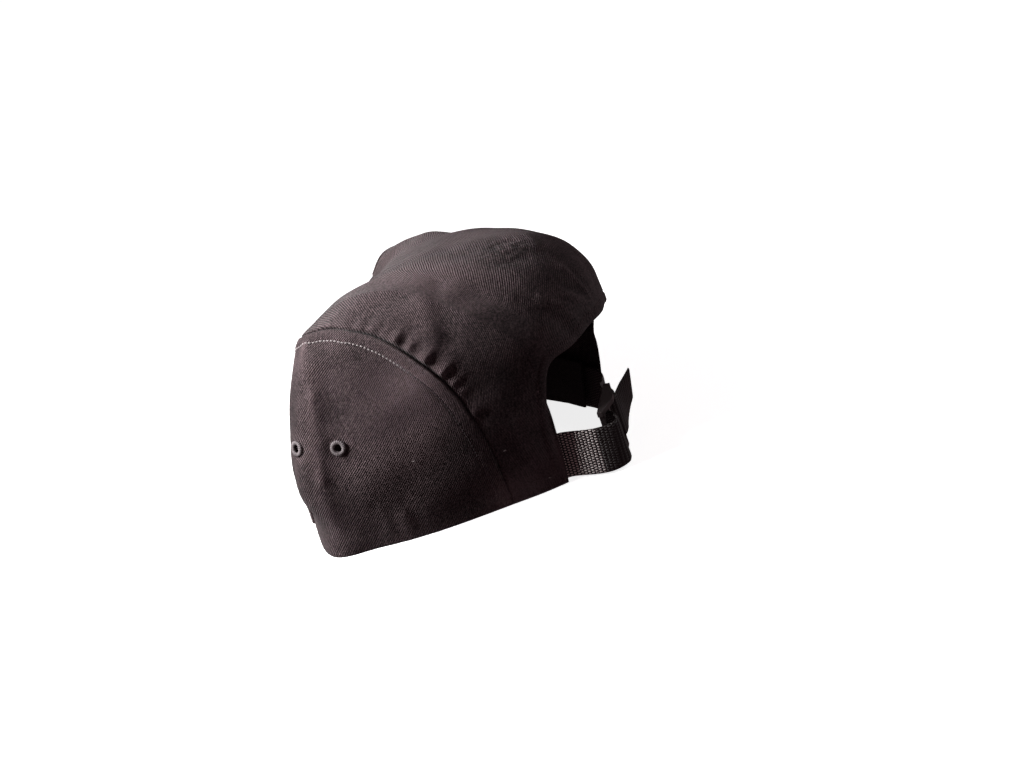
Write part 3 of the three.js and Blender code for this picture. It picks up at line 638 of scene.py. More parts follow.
def surface_lengths(points):
    """Length in millimetres along both ways of a grid, from its middle row and its first column."""
    along = np.zeros(points.shape[:2])
    up = np.zeros(points.shape[:2])
    along[1:] = np.cumsum(np.linalg.norm(np.diff(points, axis=0), axis=-1), axis=0)
    up[:, 1:] = np.cumsum(np.linalg.norm(np.diff(points, axis=1), axis=-1), axis=1)
    return np.stack([along - along[len(along) // 2], up], -1).reshape(-1, 2)


def sheet_faces(keep):
    """Quads of a closed sheet over a grid held twice, outer then inner: both faces of every kept
    cell, and a wall wherever a kept cell ends."""
    n, m = keep.shape[0] + 1, keep.shape[1] + 1
    at = np.arange(n * m).reshape(n, m)
    a, b, c, d = at[:-1, :-1], at[1:, :-1], at[1:, 1:], at[:-1, 1:]
    outer = np.stack([a, b, c, d], -1)[keep]
    inner = np.stack([a, d, c, b], -1)[keep] + n * m
    held = np.pad(keep, 1)
    walls = []
    here, beyond = at[:, :-1], at[:, 1:]
    before, after = held[:-1, 1:-1], held[1:, 1:-1]
    walls.append(np.stack([here, beyond, beyond + n * m, here + n * m], -1)[after & ~before])
    walls.append(np.stack([here, here + n * m, beyond + n * m, beyond], -1)[before & ~after])
    here, beyond = at[:-1], at[1:]
    before, after = held[1:-1, :-1], held[1:-1, 1:]
    walls.append(np.stack([here, here + n * m, beyond + n * m, beyond], -1)[after & ~before])
    walls.append(np.stack([here, beyond, beyond + n * m, here + n * m], -1)[before & ~after])
    return np.concatenate([outer, inner, *walls])


def tube_faces(n, m, closed):
    """Quads of a tube of n rings of m points, joined into a ring where closed, else open at its ends."""
    at = np.arange(n * m).reshape(n, m)
    if closed:
        at = np.concatenate([at, at[:1]])
    right = np.roll(at, -1, axis=1)
    return np.stack([at[:-1], at[1:], right[1:], right[:-1]], -1).reshape(-1, 4)


def make_piece(name, points, faces, material, nodes, weave=None, paleness=None, caps=()):
    """A smooth-shaded mesh object in the frame, riding on the one body and standing for its nodes."""
    mesh = bpy.data.meshes.new(name)
    mesh.from_pydata(to_row(points).tolist(), [], faces.tolist() + list(caps))
    if weave is not None:
        corner = np.empty(len(mesh.loops), int)
        mesh.loops.foreach_get("vertex_index", corner)
        layer = mesh.uv_layers.new(name="weave")
        layer.data.foreach_set("uv", weave[corner].astype(np.float32).ravel())
    if paleness is not None:
        mesh.attributes.new("paleness", "FLOAT", "POINT").data.foreach_set("value", paleness.astype(np.float32))
    mesh.polygons.foreach_set("use_smooth", np.ones(len(mesh.polygons), bool))
    mesh.materials.append(material)
    mesh.update()
    piece = bpy.data.objects.new(name, mesh)
    bpy.context.scene.collection.objects.link(piece)
    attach(piece, "root")
    if nodes:
        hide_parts(*nodes)
    return piece


# Materials: scales count features in a metre, and in a millimetre on the weave
WOBBLE_SCALE, WOBBLE = 0.16, 3.0
CROSSING_RATE, CROSSING_LEAN, CROSSING_HEIGHT = 0.7, 0.5, 0.3
RUBBED_SCALE, RUBBED_AWAY, RIB_CONTRAST = 70.0, 0.38, 2.2
FADING_SCALE, FADING_GRAIN, FADING = 34.0, 0.6, 0.5
FUZZ_SCALE, FUZZ_GRAIN, FUZZ, FUZZ_RELIEF = 900.0, 0.8, 2.2, 1.6
FLECK_SCALE, FLECK_ABOVE, FLECK_EDGE, FLECK_PALE = 420.0, 0.76, 6.0, 2.2
BASE_SHADE = -1.05
TWILL_BUMP, TWILL_DEPTH = 0.75, 0.0003
TWILL_ROUGHNESS, TWILL_SPECULAR, TWILL_SHEEN, TWILL_SHEEN_ROUGHNESS = 0.95, 0.15, 0.12, 0.45
PICK_PITCH, RIB_ROUNDING, PICK_ROUNDING = 1.45, 0.6, 0.7
# Painted glints on the webbing's picks: the height above which they show, and how sharp their edge is
GLINT_ABOVE, GLINT_EDGE = 0.48, 3.2
WEBBING_FUZZ_SCALE, WEBBING_FUZZ = 3.0, 0.5
WEBBING_DEPTH, WEBBING_ROUGHNESS, WEBBING_SPECULAR = 0.0005, 0.55, 0.5
THREAD_SCALE, THREAD_GRAIN, THREAD_DEPTH = 1500.0, 0.4, 0.0001
FINE_BUMP = 0.5
MATT = 0.8


def link(tree, kind, settings=None, **inputs):
    """A new shader node with its settings, and each input set to a value or joined to a socket."""
    made = tree.nodes.new(kind)
    for key, value in (settings or {}).items():
        setattr(made, key, value)
    for key, value in inputs.items():
        socket = made.inputs[int(key[1:])] if key[1:].isdigit() else made.inputs[key.replace("_", " ")]
        if isinstance(value, bpy.types.NodeSocket):
            tree.links.new(value, socket)
        else:
            socket.default_value = value
    return made


def new_material(name):
    """A new material, its node tree and its shader."""
    material = bpy.data.materials.new(name)
    material.use_nodes = True
    return material, material.node_tree, material.node_tree.nodes["Principled BSDF"]


def maths(tree, operation, a, b=0.0, c=0.0, clamp=False):
    """Result of one arithmetic node."""
    settings = {"operation": operation, "use_clamp": clamp}
    return link(tree, "ShaderNodeMath", settings, _0=a, _1=b, _2=c).outputs[0]


def noise(tree, vector, scale, detail, roughness=0.5):
    """Value of a noise texture."""
    inputs = {"Vector": vector, "Scale": scale, "Detail": detail, "Roughness": roughness}
    return link(tree, "ShaderNodeTexNoise", **inputs).outputs[0]


def dot_product(tree, vector, way):
    """How far a vector reaches along a fixed way."""
    settings = {"operation": "DOT_PRODUCT"}
    return link(tree, "ShaderNodeVectorMath", settings, _0=vector, _1=way).outputs["Value"]


def blend(tree, share, dark, light):
    """A colour between two, by a share."""
    return link(tree, "ShaderNodeMix", {"data_type": "RGBA"}, _0=share, _6=dark, _7=light).outputs[2]


def finish(tree, shader, colour, height, strength, depth, roughness):
    """The shader's colour, its relief as bump, and its roughness."""
    bump = link(tree, "ShaderNodeBump", Strength=strength, Distance=depth, Height=height).outputs[0]
    tree.links.new(colour, shader.inputs["Base Color"])
    tree.links.new(bump, shader.inputs["Normal"])
    shader.inputs["Roughness"].default_value = roughness


def read_weave(tree):
    """The cloth's own flat measure, in millimetres along and across."""
    return link(tree, "ShaderNodeUVMap", {"uv_map": "weave"}).outputs[0]


def read_paleness(tree):
    """The mesh's paleness: real fading and worn cloth, and painted light, shade and glints."""
    return link(tree, "ShaderNodeAttribute", {"attribute_name": "paleness"}).outputs["Fac"]


def twill_material(name, dark, light, pitch, lean):
    """Washed twill: sloping ribs of the given pitch in millimetres, broken along their length by the
    crossing threads, over slow fading, fuzz, a few pale flecks, and cloth paler or darker as its paleness
    says, which holds painted light and shade as well as real fading and worn crests."""
    material, tree, shader = new_material(name)
    weave = read_weave(tree)
    place = link(tree, "ShaderNodeTexCoord").outputs["Object"]
    rate = 2 * np.pi / pitch
    rib_way = (float(np.cos(np.radians(lean))) * rate, float(np.sin(np.radians(lean))) * rate, 0.0)
    cross_way = (-rib_way[1] * CROSSING_RATE, rib_way[0] * CROSSING_RATE, 0.0)
    rib_line = dot_product(tree, weave, rib_way)
    cross_line = dot_product(tree, weave, cross_way)
    wobble = noise(tree, weave, WOBBLE_SCALE, 1.0)
    rib = maths(tree, "SINE", maths(tree, "MULTIPLY_ADD", wobble, WOBBLE, rib_line))
    crossing = maths(tree, "SINE", maths(tree, "MULTIPLY_ADD", rib_line, CROSSING_LEAN, cross_line))
    height = maths(tree, "MULTIPLY_ADD", crossing, CROSSING_HEIGHT, rib)
    crisp = maths(tree, "SUBTRACT", noise(tree, place, RUBBED_SCALE, 2.0), RUBBED_AWAY, clamp=True)
    crisp = maths(tree, "MULTIPLY", crisp, RIB_CONTRAST)
    fading = noise(tree, place, FADING_SCALE, 4.0, FADING_GRAIN)
    fuzz = noise(tree, place, FUZZ_SCALE, 3.0, FUZZ_GRAIN)
    shade = maths(tree, "MULTIPLY_ADD", height, crisp, BASE_SHADE)
    shade = maths(tree, "MULTIPLY_ADD", fading, FADING, shade)
    shade = maths(tree, "MULTIPLY_ADD", fuzz, FUZZ, shade)
    # Paleness: real fading and worn crests, and painted light and shade
    shade = maths(tree, "ADD", read_paleness(tree), shade, clamp=True)
    spots = maths(tree, "SUBTRACT", noise(tree, place, FLECK_SCALE, 1.0), FLECK_ABOVE, clamp=True)
    spots = maths(tree, "MULTIPLY", spots, FLECK_EDGE, clamp=True)
    pale = tuple(min(1.0, part * FLECK_PALE) for part in light[:3]) + (1.0,)
    colour = blend(tree, spots, blend(tree, shade, dark, light), pale)
    relief = maths(tree, "MULTIPLY_ADD", fuzz, FUZZ_RELIEF, height)
    finish(tree, shader, colour, relief, TWILL_BUMP, TWILL_DEPTH, TWILL_ROUGHNESS)
    shader.inputs["Specular IOR Level"].default_value = TWILL_SPECULAR
    shader.inputs["Sheen Weight"].default_value = TWILL_SHEEN
    shader.inputs["Sheen Roughness"].default_value = TWILL_SHEEN_ROUGHNESS
    return material


def webbing_material(name, dark, light):
    """Ribbed webbing: rows of raised picks across the strap, each row offset by half from the last,
    with painted glints on top of the picks where the paleness is high."""
    material, tree, shader = new_material(name)
    weave = read_weave(tree)
    split = link(tree, "ShaderNodeSeparateXYZ", Vector=weave)
    row = maths(tree, "MULTIPLY", split.outputs[0], 1 / RIB_PITCH)
    ribs = maths(tree, "ABSOLUTE", maths(tree, "SINE", maths(tree, "MULTIPLY", row, np.pi)))
    offset = maths(tree, "MULTIPLY", maths(tree, "FLOOR", row), np.pi)
    across = maths(tree, "MULTIPLY_ADD", split.outputs[1], 2 * np.pi / PICK_PITCH, offset)
    picks = maths(tree, "MULTIPLY_ADD", maths(tree, "SINE", across), 0.5, 0.5)
    ribs = maths(tree, "POWER", ribs, RIB_ROUNDING)
    height = maths(tree, "MULTIPLY", ribs, maths(tree, "POWER", picks, PICK_ROUNDING))
    # Painted glints: the highest part of each pick, scaled by the strap's paleness
    glints = maths(tree, "SUBTRACT", height, GLINT_ABOVE, clamp=True)
    glints = maths(tree, "MULTIPLY", glints, GLINT_EDGE, clamp=True)
    fuzz = maths(tree, "ADD", noise(tree, weave, WEBBING_FUZZ_SCALE, 3.0), WEBBING_FUZZ)
    shade = maths(tree, "MULTIPLY", maths(tree, "MULTIPLY", glints, read_paleness(tree)), fuzz, clamp=True)
    finish(tree, shader, blend(tree, shade, dark, light), height, 1.0, WEBBING_DEPTH, WEBBING_ROUGHNESS)
    shader.inputs["Specular IOR Level"].default_value = WEBBING_SPECULAR
    return material


def plain_material(name, dark, light, scale, roughness, depth):
    """Two close tones mixed by fine noise, with the same noise as its relief."""
    material, tree, shader = new_material(name)
    grain = noise(tree, link(tree, "ShaderNodeTexCoord").outputs["Object"], scale, 4.0)
    finish(tree, shader, blend(tree, grain, dark, light), grain, FINE_BUMP, depth, roughness)
    return material


def thread_material(name, dark, light):
    """Sewing thread that turns from dark to pale as its paleness rises, over a fine twisted grain."""
    material, tree, shader = new_material(name)
    grain = noise(tree, link(tree, "ShaderNodeTexCoord").outputs["Object"], THREAD_SCALE, 2.0)
    shade = maths(tree, "MULTIPLY", read_paleness(tree), maths(tree, "ADD", grain, THREAD_GRAIN), clamp=True)
    finish(tree, shader, blend(tree, shade, dark, light), grain, FINE_BUMP, THREAD_DEPTH, MATT)
    return material


# Each twill has its dark and light tone, its ribs' pitch in millimetres and their lean in degrees
TWILL_TONES = ((0.0115, 0.007, 0.0076, 1), (0.158, 0.113, 0.119, 1))
BAND_TONES = ((0.012, 0.010, 0.011, 1), (0.05, 0.043, 0.045, 1))
# The webbing's dark tone, and the near-white tone of its painted glints
WEBBING_AND_GLINT_TONES = ((0.012, 0.0075, 0.0075, 1), (0.8, 0.73, 0.71, 1))
PALE_THREAD_TONES = ((0.03, 0.022, 0.023, 1), (0.34, 0.30, 0.30, 1))
DARK_THREAD_TONES = ((0.06, 0.048, 0.052, 1), (0.22, 0.19, 0.195, 1))
LINT_TONES = ((0.16, 0.135, 0.135, 1), (0.30, 0.26, 0.26, 1))
PLASTIC_TONES = ((0.045, 0.036, 0.036, 1), (0.07, 0.058, 0.058, 1))
side_twill = twill_material("side_twill", *TWILL_TONES, 1.08, 140.0)
top_twill = twill_material("top_twill", *TWILL_TONES, 1.12, -60.0)
front_twill = twill_material("front_twill", *TWILL_TONES, 1.05, 62.0)
peak_twill = twill_material("peak_twill", *TWILL_TONES, 1.05, 45.0)
band_cloth = twill_material("band_cloth", *BAND_TONES, 0.9, 30.0)
webbing = webbing_material("strap_webbing", *WEBBING_AND_GLINT_TONES)
pale_thread = thread_material("pale_thread", *PALE_THREAD_TONES)
lint_fibre = plain_material("lint_fibre", *LINT_TONES, 900.0, MATT, 0.0001)
dark_thread = plain_material("dark_thread", *DARK_THREAD_TONES, 900.0, MATT, 0.0002)
buckle_plastic = plain_material("moulded_plastic", *PLASTIC_TONES, 260.0, 0.42, 0.00005)


def cloth_panel(name, node, plan, relief, material, holes=()):
    """A panel of cloth over a patch of the crown: its outer face follows the relief, its inner face
    lies one cloth below and is darkened with painted shade, its seam borders are drawn in, and cells
    over a hole are left out."""
    plan = facing_out(plan)
    point, normal = shell_at(plan)
    rise, paleness = relief(point)
    at_rim = np.hypot(plan[..., 0], plan[..., 1]) > 1 - 1e-6
    fade = np.minimum(point[..., 2] / RIM_FADE, 1)
    outer = point + normal * (rise * np.maximum(fade, RIM_RELIEF))[..., None]
    inner = point + normal * (np.maximum(rise, 0) * fade * INNER_FOLLOW - CLOTH)[..., None]
    for layer in (outer, inner):
        layer[at_rim, 2] = 0
    centre = (outer[:-1, :-1] + outer[1:, 1:]) / 2
    keep = np.ones(centre.shape[:2], bool)
    for hole in holes:
        keep &= np.linalg.norm(centre - hole, axis=-1) > EYELET_HOLE
    faces = sheet_faces(keep)
    used = np.unique(faces)
    number = np.zeros(2 * point.shape[0] * point.shape[1], int)
    number[used] = np.arange(len(used))
    points = np.concatenate([outer.reshape(-1, 3), inner.reshape(-1, 3)])[used]
    weave = np.tile(surface_lengths(plan_point(plan)), (2, 1))[used]
    # The inner face takes painted shade, darker than the outer face
    paleness = np.concatenate([paleness.ravel(), np.full(paleness.size, INNER_SHADE)])[used]
    make_piece(name, points, number[faces], material, [node], weave, paleness)
    return outer, normal


def pebble(slope, sides, sizes):
    """A small ellipsoid: a ring of points at each slope along its length, as wide as the slope allows."""
    turn, slope = np.meshgrid(np.linspace(0, 2 * np.pi, sides, endpoint=False), slope)
    girth = np.sqrt(np.maximum(1 - slope**2, LEAST_GIRTH))
    return np.stack([slope, girth * np.cos(turn), girth * np.sin(turn)], -1).reshape(-1, 3) * sizes


def scatter(local, rings, sides, middle, axes):
    """Copies of one pebble, each at its middle and turned to its own axes: points, faces, end caps."""
    points = middle[:, None] + sum(local[None, :, k : k + 1] * axes[k][:, None] for k in range(3))
    start = np.arange(len(middle)) * len(local)
    faces = tube_faces(rings, sides, closed=False)[None] + start[:, None, None]
    ends = (np.arange(sides)[::-1], np.arange(len(local) - sides, len(local)))
    caps = [(end + first).tolist() for first in start for end in ends]
    return points.reshape(-1, 3), faces.reshape(-1, 4), caps


def stitch_row(name, outer, normal, seam):
    """Small rounded stitches laid end to end where a panel's grid lies at a distance from its seam,
    pale at the front and darker from PALE_BEARING backwards."""
    away, which = nearest(seam, outer)
    column = np.arange(len(outer))
    level = np.abs(away - TOPSTITCH).argmin(1)
    close = np.abs(away[column, level] - TOPSTITCH) < ROW_REACH
    path, up = outer[column, level][close], normal[column, level][close]
    pale = smooth_step((SEAM_BEARING[which[column, level][close]] - PALE_BEARING) / PALE_RUN)
    smooth = np.ones(ROW_SMOOTHING) / ROW_SMOOTHING
    inside = slice(ROW_SMOOTHING // 2, len(path) - ROW_SMOOTHING // 2)
    path = np.stack([np.convolve(path[:, k], smooth, "same") for k in range(3)], -1)[inside]
    up, pale = up[inside], pale[inside]
    run = run_length(path)
    at = np.arange(STITCH_PITCH, run[-1] - STITCH_PITCH, STITCH_PITCH)
    middle, ahead, lift = (
        np.stack([np.interp(place, run, values[:, k]) for k in range(3)], -1)
        for place, values in ((at, path), (at + 0.5, path), (at, up))
    )
    lift = unit(lift)
    way = unit(ahead - middle)
    axes = (way, np.cross(lift, way), lift)
    local = pebble(
        np.linspace(-1, 1, STITCH_RINGS), STITCH_SIDES, (STITCH_LENGTH / 2, STITCH_RADIUS, STITCH_RADIUS)
    )
    points, faces, caps = scatter(local, STITCH_RINGS, STITCH_SIDES, middle + lift * STITCH_LIFT, axes)
    paleness = np.repeat(np.interp(at, run, pale), len(local))
    make_piece(name, points, faces, pale_thread, [], paleness=paleness, caps=caps)


def lint():
    """Specks of pale lint that lie on the cloth."""
    middle, up = (np.array(values) for values in zip(*(place_on_shell(*place) for place in LINT)))
    east = unit(np.cross(LINT_LEAN, up))
    local = pebble(np.linspace(-LINT_END, LINT_END, LINT_RINGS), LINT_SIDES, LINT_SIZES)
    axes = (east, np.cross(up, east), up)
    points, faces, caps = scatter(local, LINT_RINGS, LINT_SIDES, middle + up * LINT_LIFT, axes)
    make_piece("lint", points, faces, lint_fibre, [], caps=caps)


def eyelet_ring(name):
    """A ring of radial threads round a hole: a flattened torus whose tube swells at each thread."""
    middle, up = EYELET_PLACES[name]
    east = unit(np.cross([0.0, 0.0, 1.0], up))
    north = np.cross(up, east)
    turn = np.linspace(0, 2 * np.pi, 192, endpoint=False)[:, None]
    section = np.linspace(0, 2 * np.pi, 16, endpoint=False)[None]
    threads = THREAD_SWELL * np.cos(EYELET_THREADS * turn + THREAD_TWIST * np.sin(section))
    swell = 1 + threads + UNEVEN_SWELL * np.sin(UNEVEN_WAVES * turn + UNEVEN_START)
    reach = EYELET_RING + EYELET_TUBE * swell * np.cos(section)
    height = EYELET_LIFT + EYELET_HEIGHT * swell * np.sin(section)
    flat = (reach * np.cos(turn))[..., None] * east + (reach * np.sin(turn))[..., None] * north
    points = (middle + flat + height[..., None] * up).reshape(-1, 3)
    make_piece(f"{name}_thread", points, tube_faces(192, 16, closed=True), dark_thread, [name])


def band_sheet():
    """Sweatband: a strip one clearance inside the wall, stepping in at its ends over the strap's ends."""
    along = np.linspace(BAND_FIRST, BEARINGS - BAND_FIRST, BAND_ALONG)
    bearing, level = np.meshgrid(along, np.linspace(BAND_FOOT, BAND_TOP, BAND_UP), indexing="ij")
    point, normal = shell_at(to_plan(bearing, level))
    from_end = np.minimum(bearing, BEARINGS - bearing) - BAND_FIRST
    depth = CLOTH + BAND_CLEARANCE + BAND_END_STEP * (1 - smooth_step(from_end / BAND_EASE))
    share = (level - BAND_FOOT) / (BAND_TOP - BAND_FOOT)
    quilt = sum(BAND_QUILT * bell(share - row, BAND_QUILT_WIDTH) for row in BAND_ROWS)
    wall_face = point - normal * depth[..., None]
    head_face = point - normal * (depth + BAND_CLOTH - quilt)[..., None]
    points = np.concatenate([wall_face.reshape(-1, 3), head_face.reshape(-1, 3)])
    faces = sheet_faces(np.ones((BAND_ALONG - 1, BAND_UP - 1), bool))[:, ::-1]
    weave = np.tile(surface_lengths(point), (2, 1))
    paleness = np.tile((BAND_EDGE_WEAR * bell(share - 1, BAND_EDGE_WIDTH)).ravel(), 2)
    make_piece("sweatband_cloth", points, faces, band_cloth, ["sweatband"], weave, paleness)


def peak_sheet():
    """Peak: a board along the front, tallest in the middle, with rows of stitching inside its edge."""
    along, up = np.linspace(-1, 1, PEAK_ALONG), np.linspace(0, 1, PEAK_UP)
    share, rise = np.meshgrid(along, up, indexing="ij")
    bearing = BEARINGS / 2 + share * (BEARINGS / 2 - PEAK_FIRST)
    bow = (1 - np.abs(share) ** PEAK_BOW) ** PEAK_ROUNDING
    crest = PEAK_END_LEVEL + (PEAK_MID_LEVEL - PEAK_END_LEVEL) * bow
    point, normal = shell_at(to_plan(bearing, crest * rise))
    lean = PEAK_CLEARANCE + PEAK_LEAN * crest * rise**2
    away, _ = nearest(np.concatenate([point[0], point[:, -1], point[-1]]), point)
    from_row = np.abs((away + PEAK_ROW_PITCH / 2) % PEAK_ROW_PITCH - PEAK_ROW_PITCH / 2)
    stitched = (away > PEAK_ROWS_FROM) * (away < PEAK_ROWS_TO)
    sunk = PEAK_ROW_DEPTH * bell(from_row, PEAK_ROW_WIDTH) * stitched
    rounded = PEAK_EDGE_DEPTH * bell(away, PEAK_EDGE_WIDTH)
    far_face = point + normal * (lean + PEAK_BOARD - sunk - rounded)[..., None]
    near_face = point + normal * (lean + sunk / 2 + rounded)[..., None]
    for face in (far_face, near_face):
        face[:, 0, 2] = 0
    points = np.concatenate([far_face.reshape(-1, 3), near_face.reshape(-1, 3)])
    faces = sheet_faces(np.ones((PEAK_ALONG - 1, PEAK_UP - 1), bool))
    weave = np.tile(surface_lengths(point), (2, 1))
    paleness = np.tile((PEAK_EDGE_WEAR * bell(away, PEAK_WEAR_WIDTH)).ravel(), 2)
    return make_piece("peak_cloth", points, faces, peak_twill, ["peak"], weave, paleness)


def turn_outward(piece):
    """Turns a closed piece the right way out, told by the sign of the volume that its faces enclose."""
    mesh = piece.data
    mesh.calc_loop_triangles()
    corner = np.empty(len(mesh.loop_triangles) * 3, int)
    mesh.loop_triangles.foreach_get("vertices", corner)
    place = np.empty(len(mesh.vertices) * 3)
    mesh.vertices.foreach_get("co", place)
    a, b, c = np.moveaxis(place.reshape(-1, 3)[corner.reshape(-1, 3)], 1, 0)
    if (np.cross(a, b) * c).sum() < 0:
        mesh.flip_normals()


def buckle_matrix():
    """The buckle's own axes in the cap: turned about the vertical, then pitched with its far end up."""
    turn, pitch = np.radians(BUCKLE_TURN), np.radians(BUCKLE_PITCH)
    about_z = np.array([[np.cos(turn), -np.sin(turn), 0], [np.sin(turn), np.cos(turn), 0], [0, 0, 1]])
    about_y = np.array([[np.cos(pitch), 0, np.sin(pitch)], [0, 1, 0], [-np.sin(pitch), 0, np.cos(pitch)]])
    return about_z @ about_y


def from_buckle(rows):
    """Path rows in the buckle's own axes, put in the cap's: the place is moved, the upper edge turned."""
    rows = np.asarray(rows, float)
    turned = buckle_matrix()
    half = WEBBING_WIDTH / 2
    place = rows[:, :3] @ turned.T + BUCKLE_PLACE
    tip = unit(np.concatenate([rows[:, 3:], np.full((len(rows), 1), half)], 1)) @ turned.T
    return np.concatenate([place, tip[:, :2] * half], 1)


def strap(name, node, rows, steps, glint_lengths):
    """Webbing carried along a smooth path: a flat section with rounded edges, ribbed across, and with
    painted glints on its ribs over each glinting length."""
    path = along_curve(rows, steps)
    length = run_length(path[:, :3])
    even = np.linspace(0, length[-1], steps + 1)
    path = np.stack([np.interp(even, length, path[:, k]) for k in range(5)], -1)
    middle, tip = path[:, :3], path[:, 3:]
    half = WEBBING_WIDTH / 2
    up = np.concatenate([tip, np.sqrt(half**2 - (tip**2).sum(1, keepdims=True))], 1) / half
    out = unit(np.cross(up, unit(np.gradient(middle, axis=0))))
    row = np.linspace(-1, 1, WEBBING_ACROSS)
    across = np.concatenate([row, row[::-1]])
    face = np.repeat([1.0, -1.0], WEBBING_ACROSS)
    edge = np.sqrt(1 - np.abs(across) ** WEBBING_SQUARENESS) * (1 - WEBBING_EDGE) + WEBBING_EDGE
    rib = RIB_DEPTH * (np.abs(np.sin(np.pi * even / RIB_PITCH))[:, None] - 1)
    depth = face * edge * (WEBBING_THICKNESS / 2 + rib)
    points = middle[:, None] + up[:, None] * (across * half)[:, None] + out[:, None] * depth[..., None]
    n, m = points.shape[:2]
    weave = np.stack(np.broadcast_arrays(even[:, None], (across * half)[None]), -1).reshape(-1, 2)
    # Painted glints: a little everywhere, more over each glinting length
    paleness = np.full(n, WEBBING_GLINT)
    for start, end, amount in glint_lengths:
        glint_in = smooth_step((even - start) / GLINT_RAMP)
        paleness += amount * glint_in * (1 - smooth_step((even - end) / GLINT_RAMP))
    caps = [list(range(m)), list(range((n - 1) * m, n * m))[::-1]]
    faces = tube_faces(n, m, closed=False)
    turn_outward(
        make_piece(name, points.reshape(-1, 3), faces, webbing, [node], weave, np.repeat(paleness, m), caps)
    )


def buckle():
    """The frame's buckle, copied, welded, and given small rounded edges."""
    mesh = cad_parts["buckle"].data.copy()
    mesh.name = "buckle_body"
    mesh.materials.clear()
    mesh.materials.append(buckle_plastic)
    piece = bpy.data.objects.new("buckle_body", mesh)
    bpy.context.scene.collection.objects.link(piece)
    weld = piece.modifiers.new("weld", "WELD")
    weld.merge_threshold = WELD_REACH
    bevel = piece.modifiers.new("bevel", "BEVEL")
    bevel.width = BEVEL_WIDTH
    bevel.segments = BEVEL_STEPS
    bevel.limit_method = "ANGLE"
    bevel.angle_limit = np.radians(BEVEL_ANGLE)
    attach(piece, "root")
    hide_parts("buckle")


# Steps of each panel's grid: along and down the seams, across the front, up the arch, and up the sides
ALONG_SEAM, DOWN_SEAM = 138, 62
ACROSS, LEG_STEPS, HALF_ARCH = 240, 30, 90
UPRIGHT_STEPS = 100
SIDE_ALONG, SIDE_UP = 190, 170

# Panels: the same patches as the frame's, on finer grids
left_seam = np.concatenate([plan_curve(SIDE_SEAM, ALONG_SEAM), plan_curve(REAR_SEAM, DOWN_SEAM)[1:]])
left_rear = np.concatenate([rim_curve(SEAM_FOOT, ARCH_FOOT, LEG_STEPS), plan_curve(ARCH, HALF_ARCH)[1:]])
rear_edge = np.concatenate([left_rear, mirror(left_rear)[::-1][1:]])
front_seam = front_seam_plan(ACROSS + 1)
front_rim = rim_curve(FRONT_SEAM_BEARING, BEARINGS - FRONT_SEAM_BEARING, ACROSS)
upright = plan_curve(FRONT_UPRIGHT, UPRIGHT_STEPS)
top_plan = fill_patch(front_seam, rear_edge, left_seam, mirror(left_seam))
front_plan = fill_patch(front_rim, front_seam, upright, mirror(upright))
side_plan = fill_patch(
    rim_curve(FRONT_SEAM_BEARING, SEAM_FOOT, SIDE_ALONG),
    plan_curve(SIDE_SEAM, SIDE_ALONG),
    plan_curve(FRONT_UPRIGHT, SIDE_UP),
    plan_curve(REAR_SEAM, SIDE_UP)[::-1],
)
cloth_panel("top_cloth", "top_panel", top_plan, top_relief, top_twill)
cloth_panel("front_cloth", "front_panel", front_plan, front_relief, front_twill)
for side, word, plan in ((1, "left", side_plan), (-1, "right", mirror(side_plan))):
    holes = [EYELET_PLACES[f"eyelet_{word}_{end}"][0] for end in ("rear", "front")]
    name, node = f"side_cloth_{word}", f"side_panel_{word}"
    outer, normal = cloth_panel(name, node, plan, side_relief, side_twill, holes)
    stitch_row(f"topstitch_{word}", outer, normal, SEAMS[side])
for name in EYELET_PLACES:
    eyelet_ring(name)
lint()
band_sheet()
turn_outward(peak_sheet())
long_path = LONG_STRAP_FREE + from_buckle(LONG_STRAP_THREADED).tolist()
short_path = from_buckle(SHORT_STRAP_THREADED).tolist() + SHORT_STRAP_FREE
strap("strap_long_webbing", "strap_long", long_path, LONG_STRAP_STEPS, LONG_STRAP_GLINTS)
strap("strap_short_webbing", "strap_short", short_path, SHORT_STRAP_STEPS, SHORT_STRAP_GLINTS)
buckle()

# Floor, light and camera: targets in millimetres, the floor and the lights in metres
CAMERA_AZIMUTH, CAMERA_ELEVATION, CAMERA_ROLL = 112.0, 20.0, 16.5
CAMERA_TARGET = np.array([55.5, 100.0, 62.4])
CAMERA_DISTANCE = 700.0
CAMERA_LENS, SENSOR_WIDTH = 50.6, 36
KEY_WAY = np.array([0.46, -0.68, 0.57])
KEY_TARGET = np.array([50.0, 20.0, 95.0])
KEY_DISTANCE, KEY_SIZE, KEY_POWER = 0.43, 0.2, 6.5
FILL_WAY = np.array([-0.55, 0.68, 0.49])
FILL_DISTANCE, FILL_SIZE, FILL_POWER = 1.4, 1.0, 4.6
ROOM_COLOUR, ROOM_LIGHT = (1.0, 0.66, 0.72, 1), 0.085
FLOOR_COLOUR, FLOOR_ROUGHNESS = (0.9, 0.9, 0.9, 1), 0.9
FLOOR_GLOW, GLOW_RISE = 0.82, 0.16
FLOOR_LEVEL, FLOOR_REACH, COVE_RADIUS, BACKDROP_HEIGHT = -0.0002, 5.0, 3.0, 9.0
FLOOR_HOLE, FLOOR_SIDES, COVE_STEPS = 0.01, 96, 24


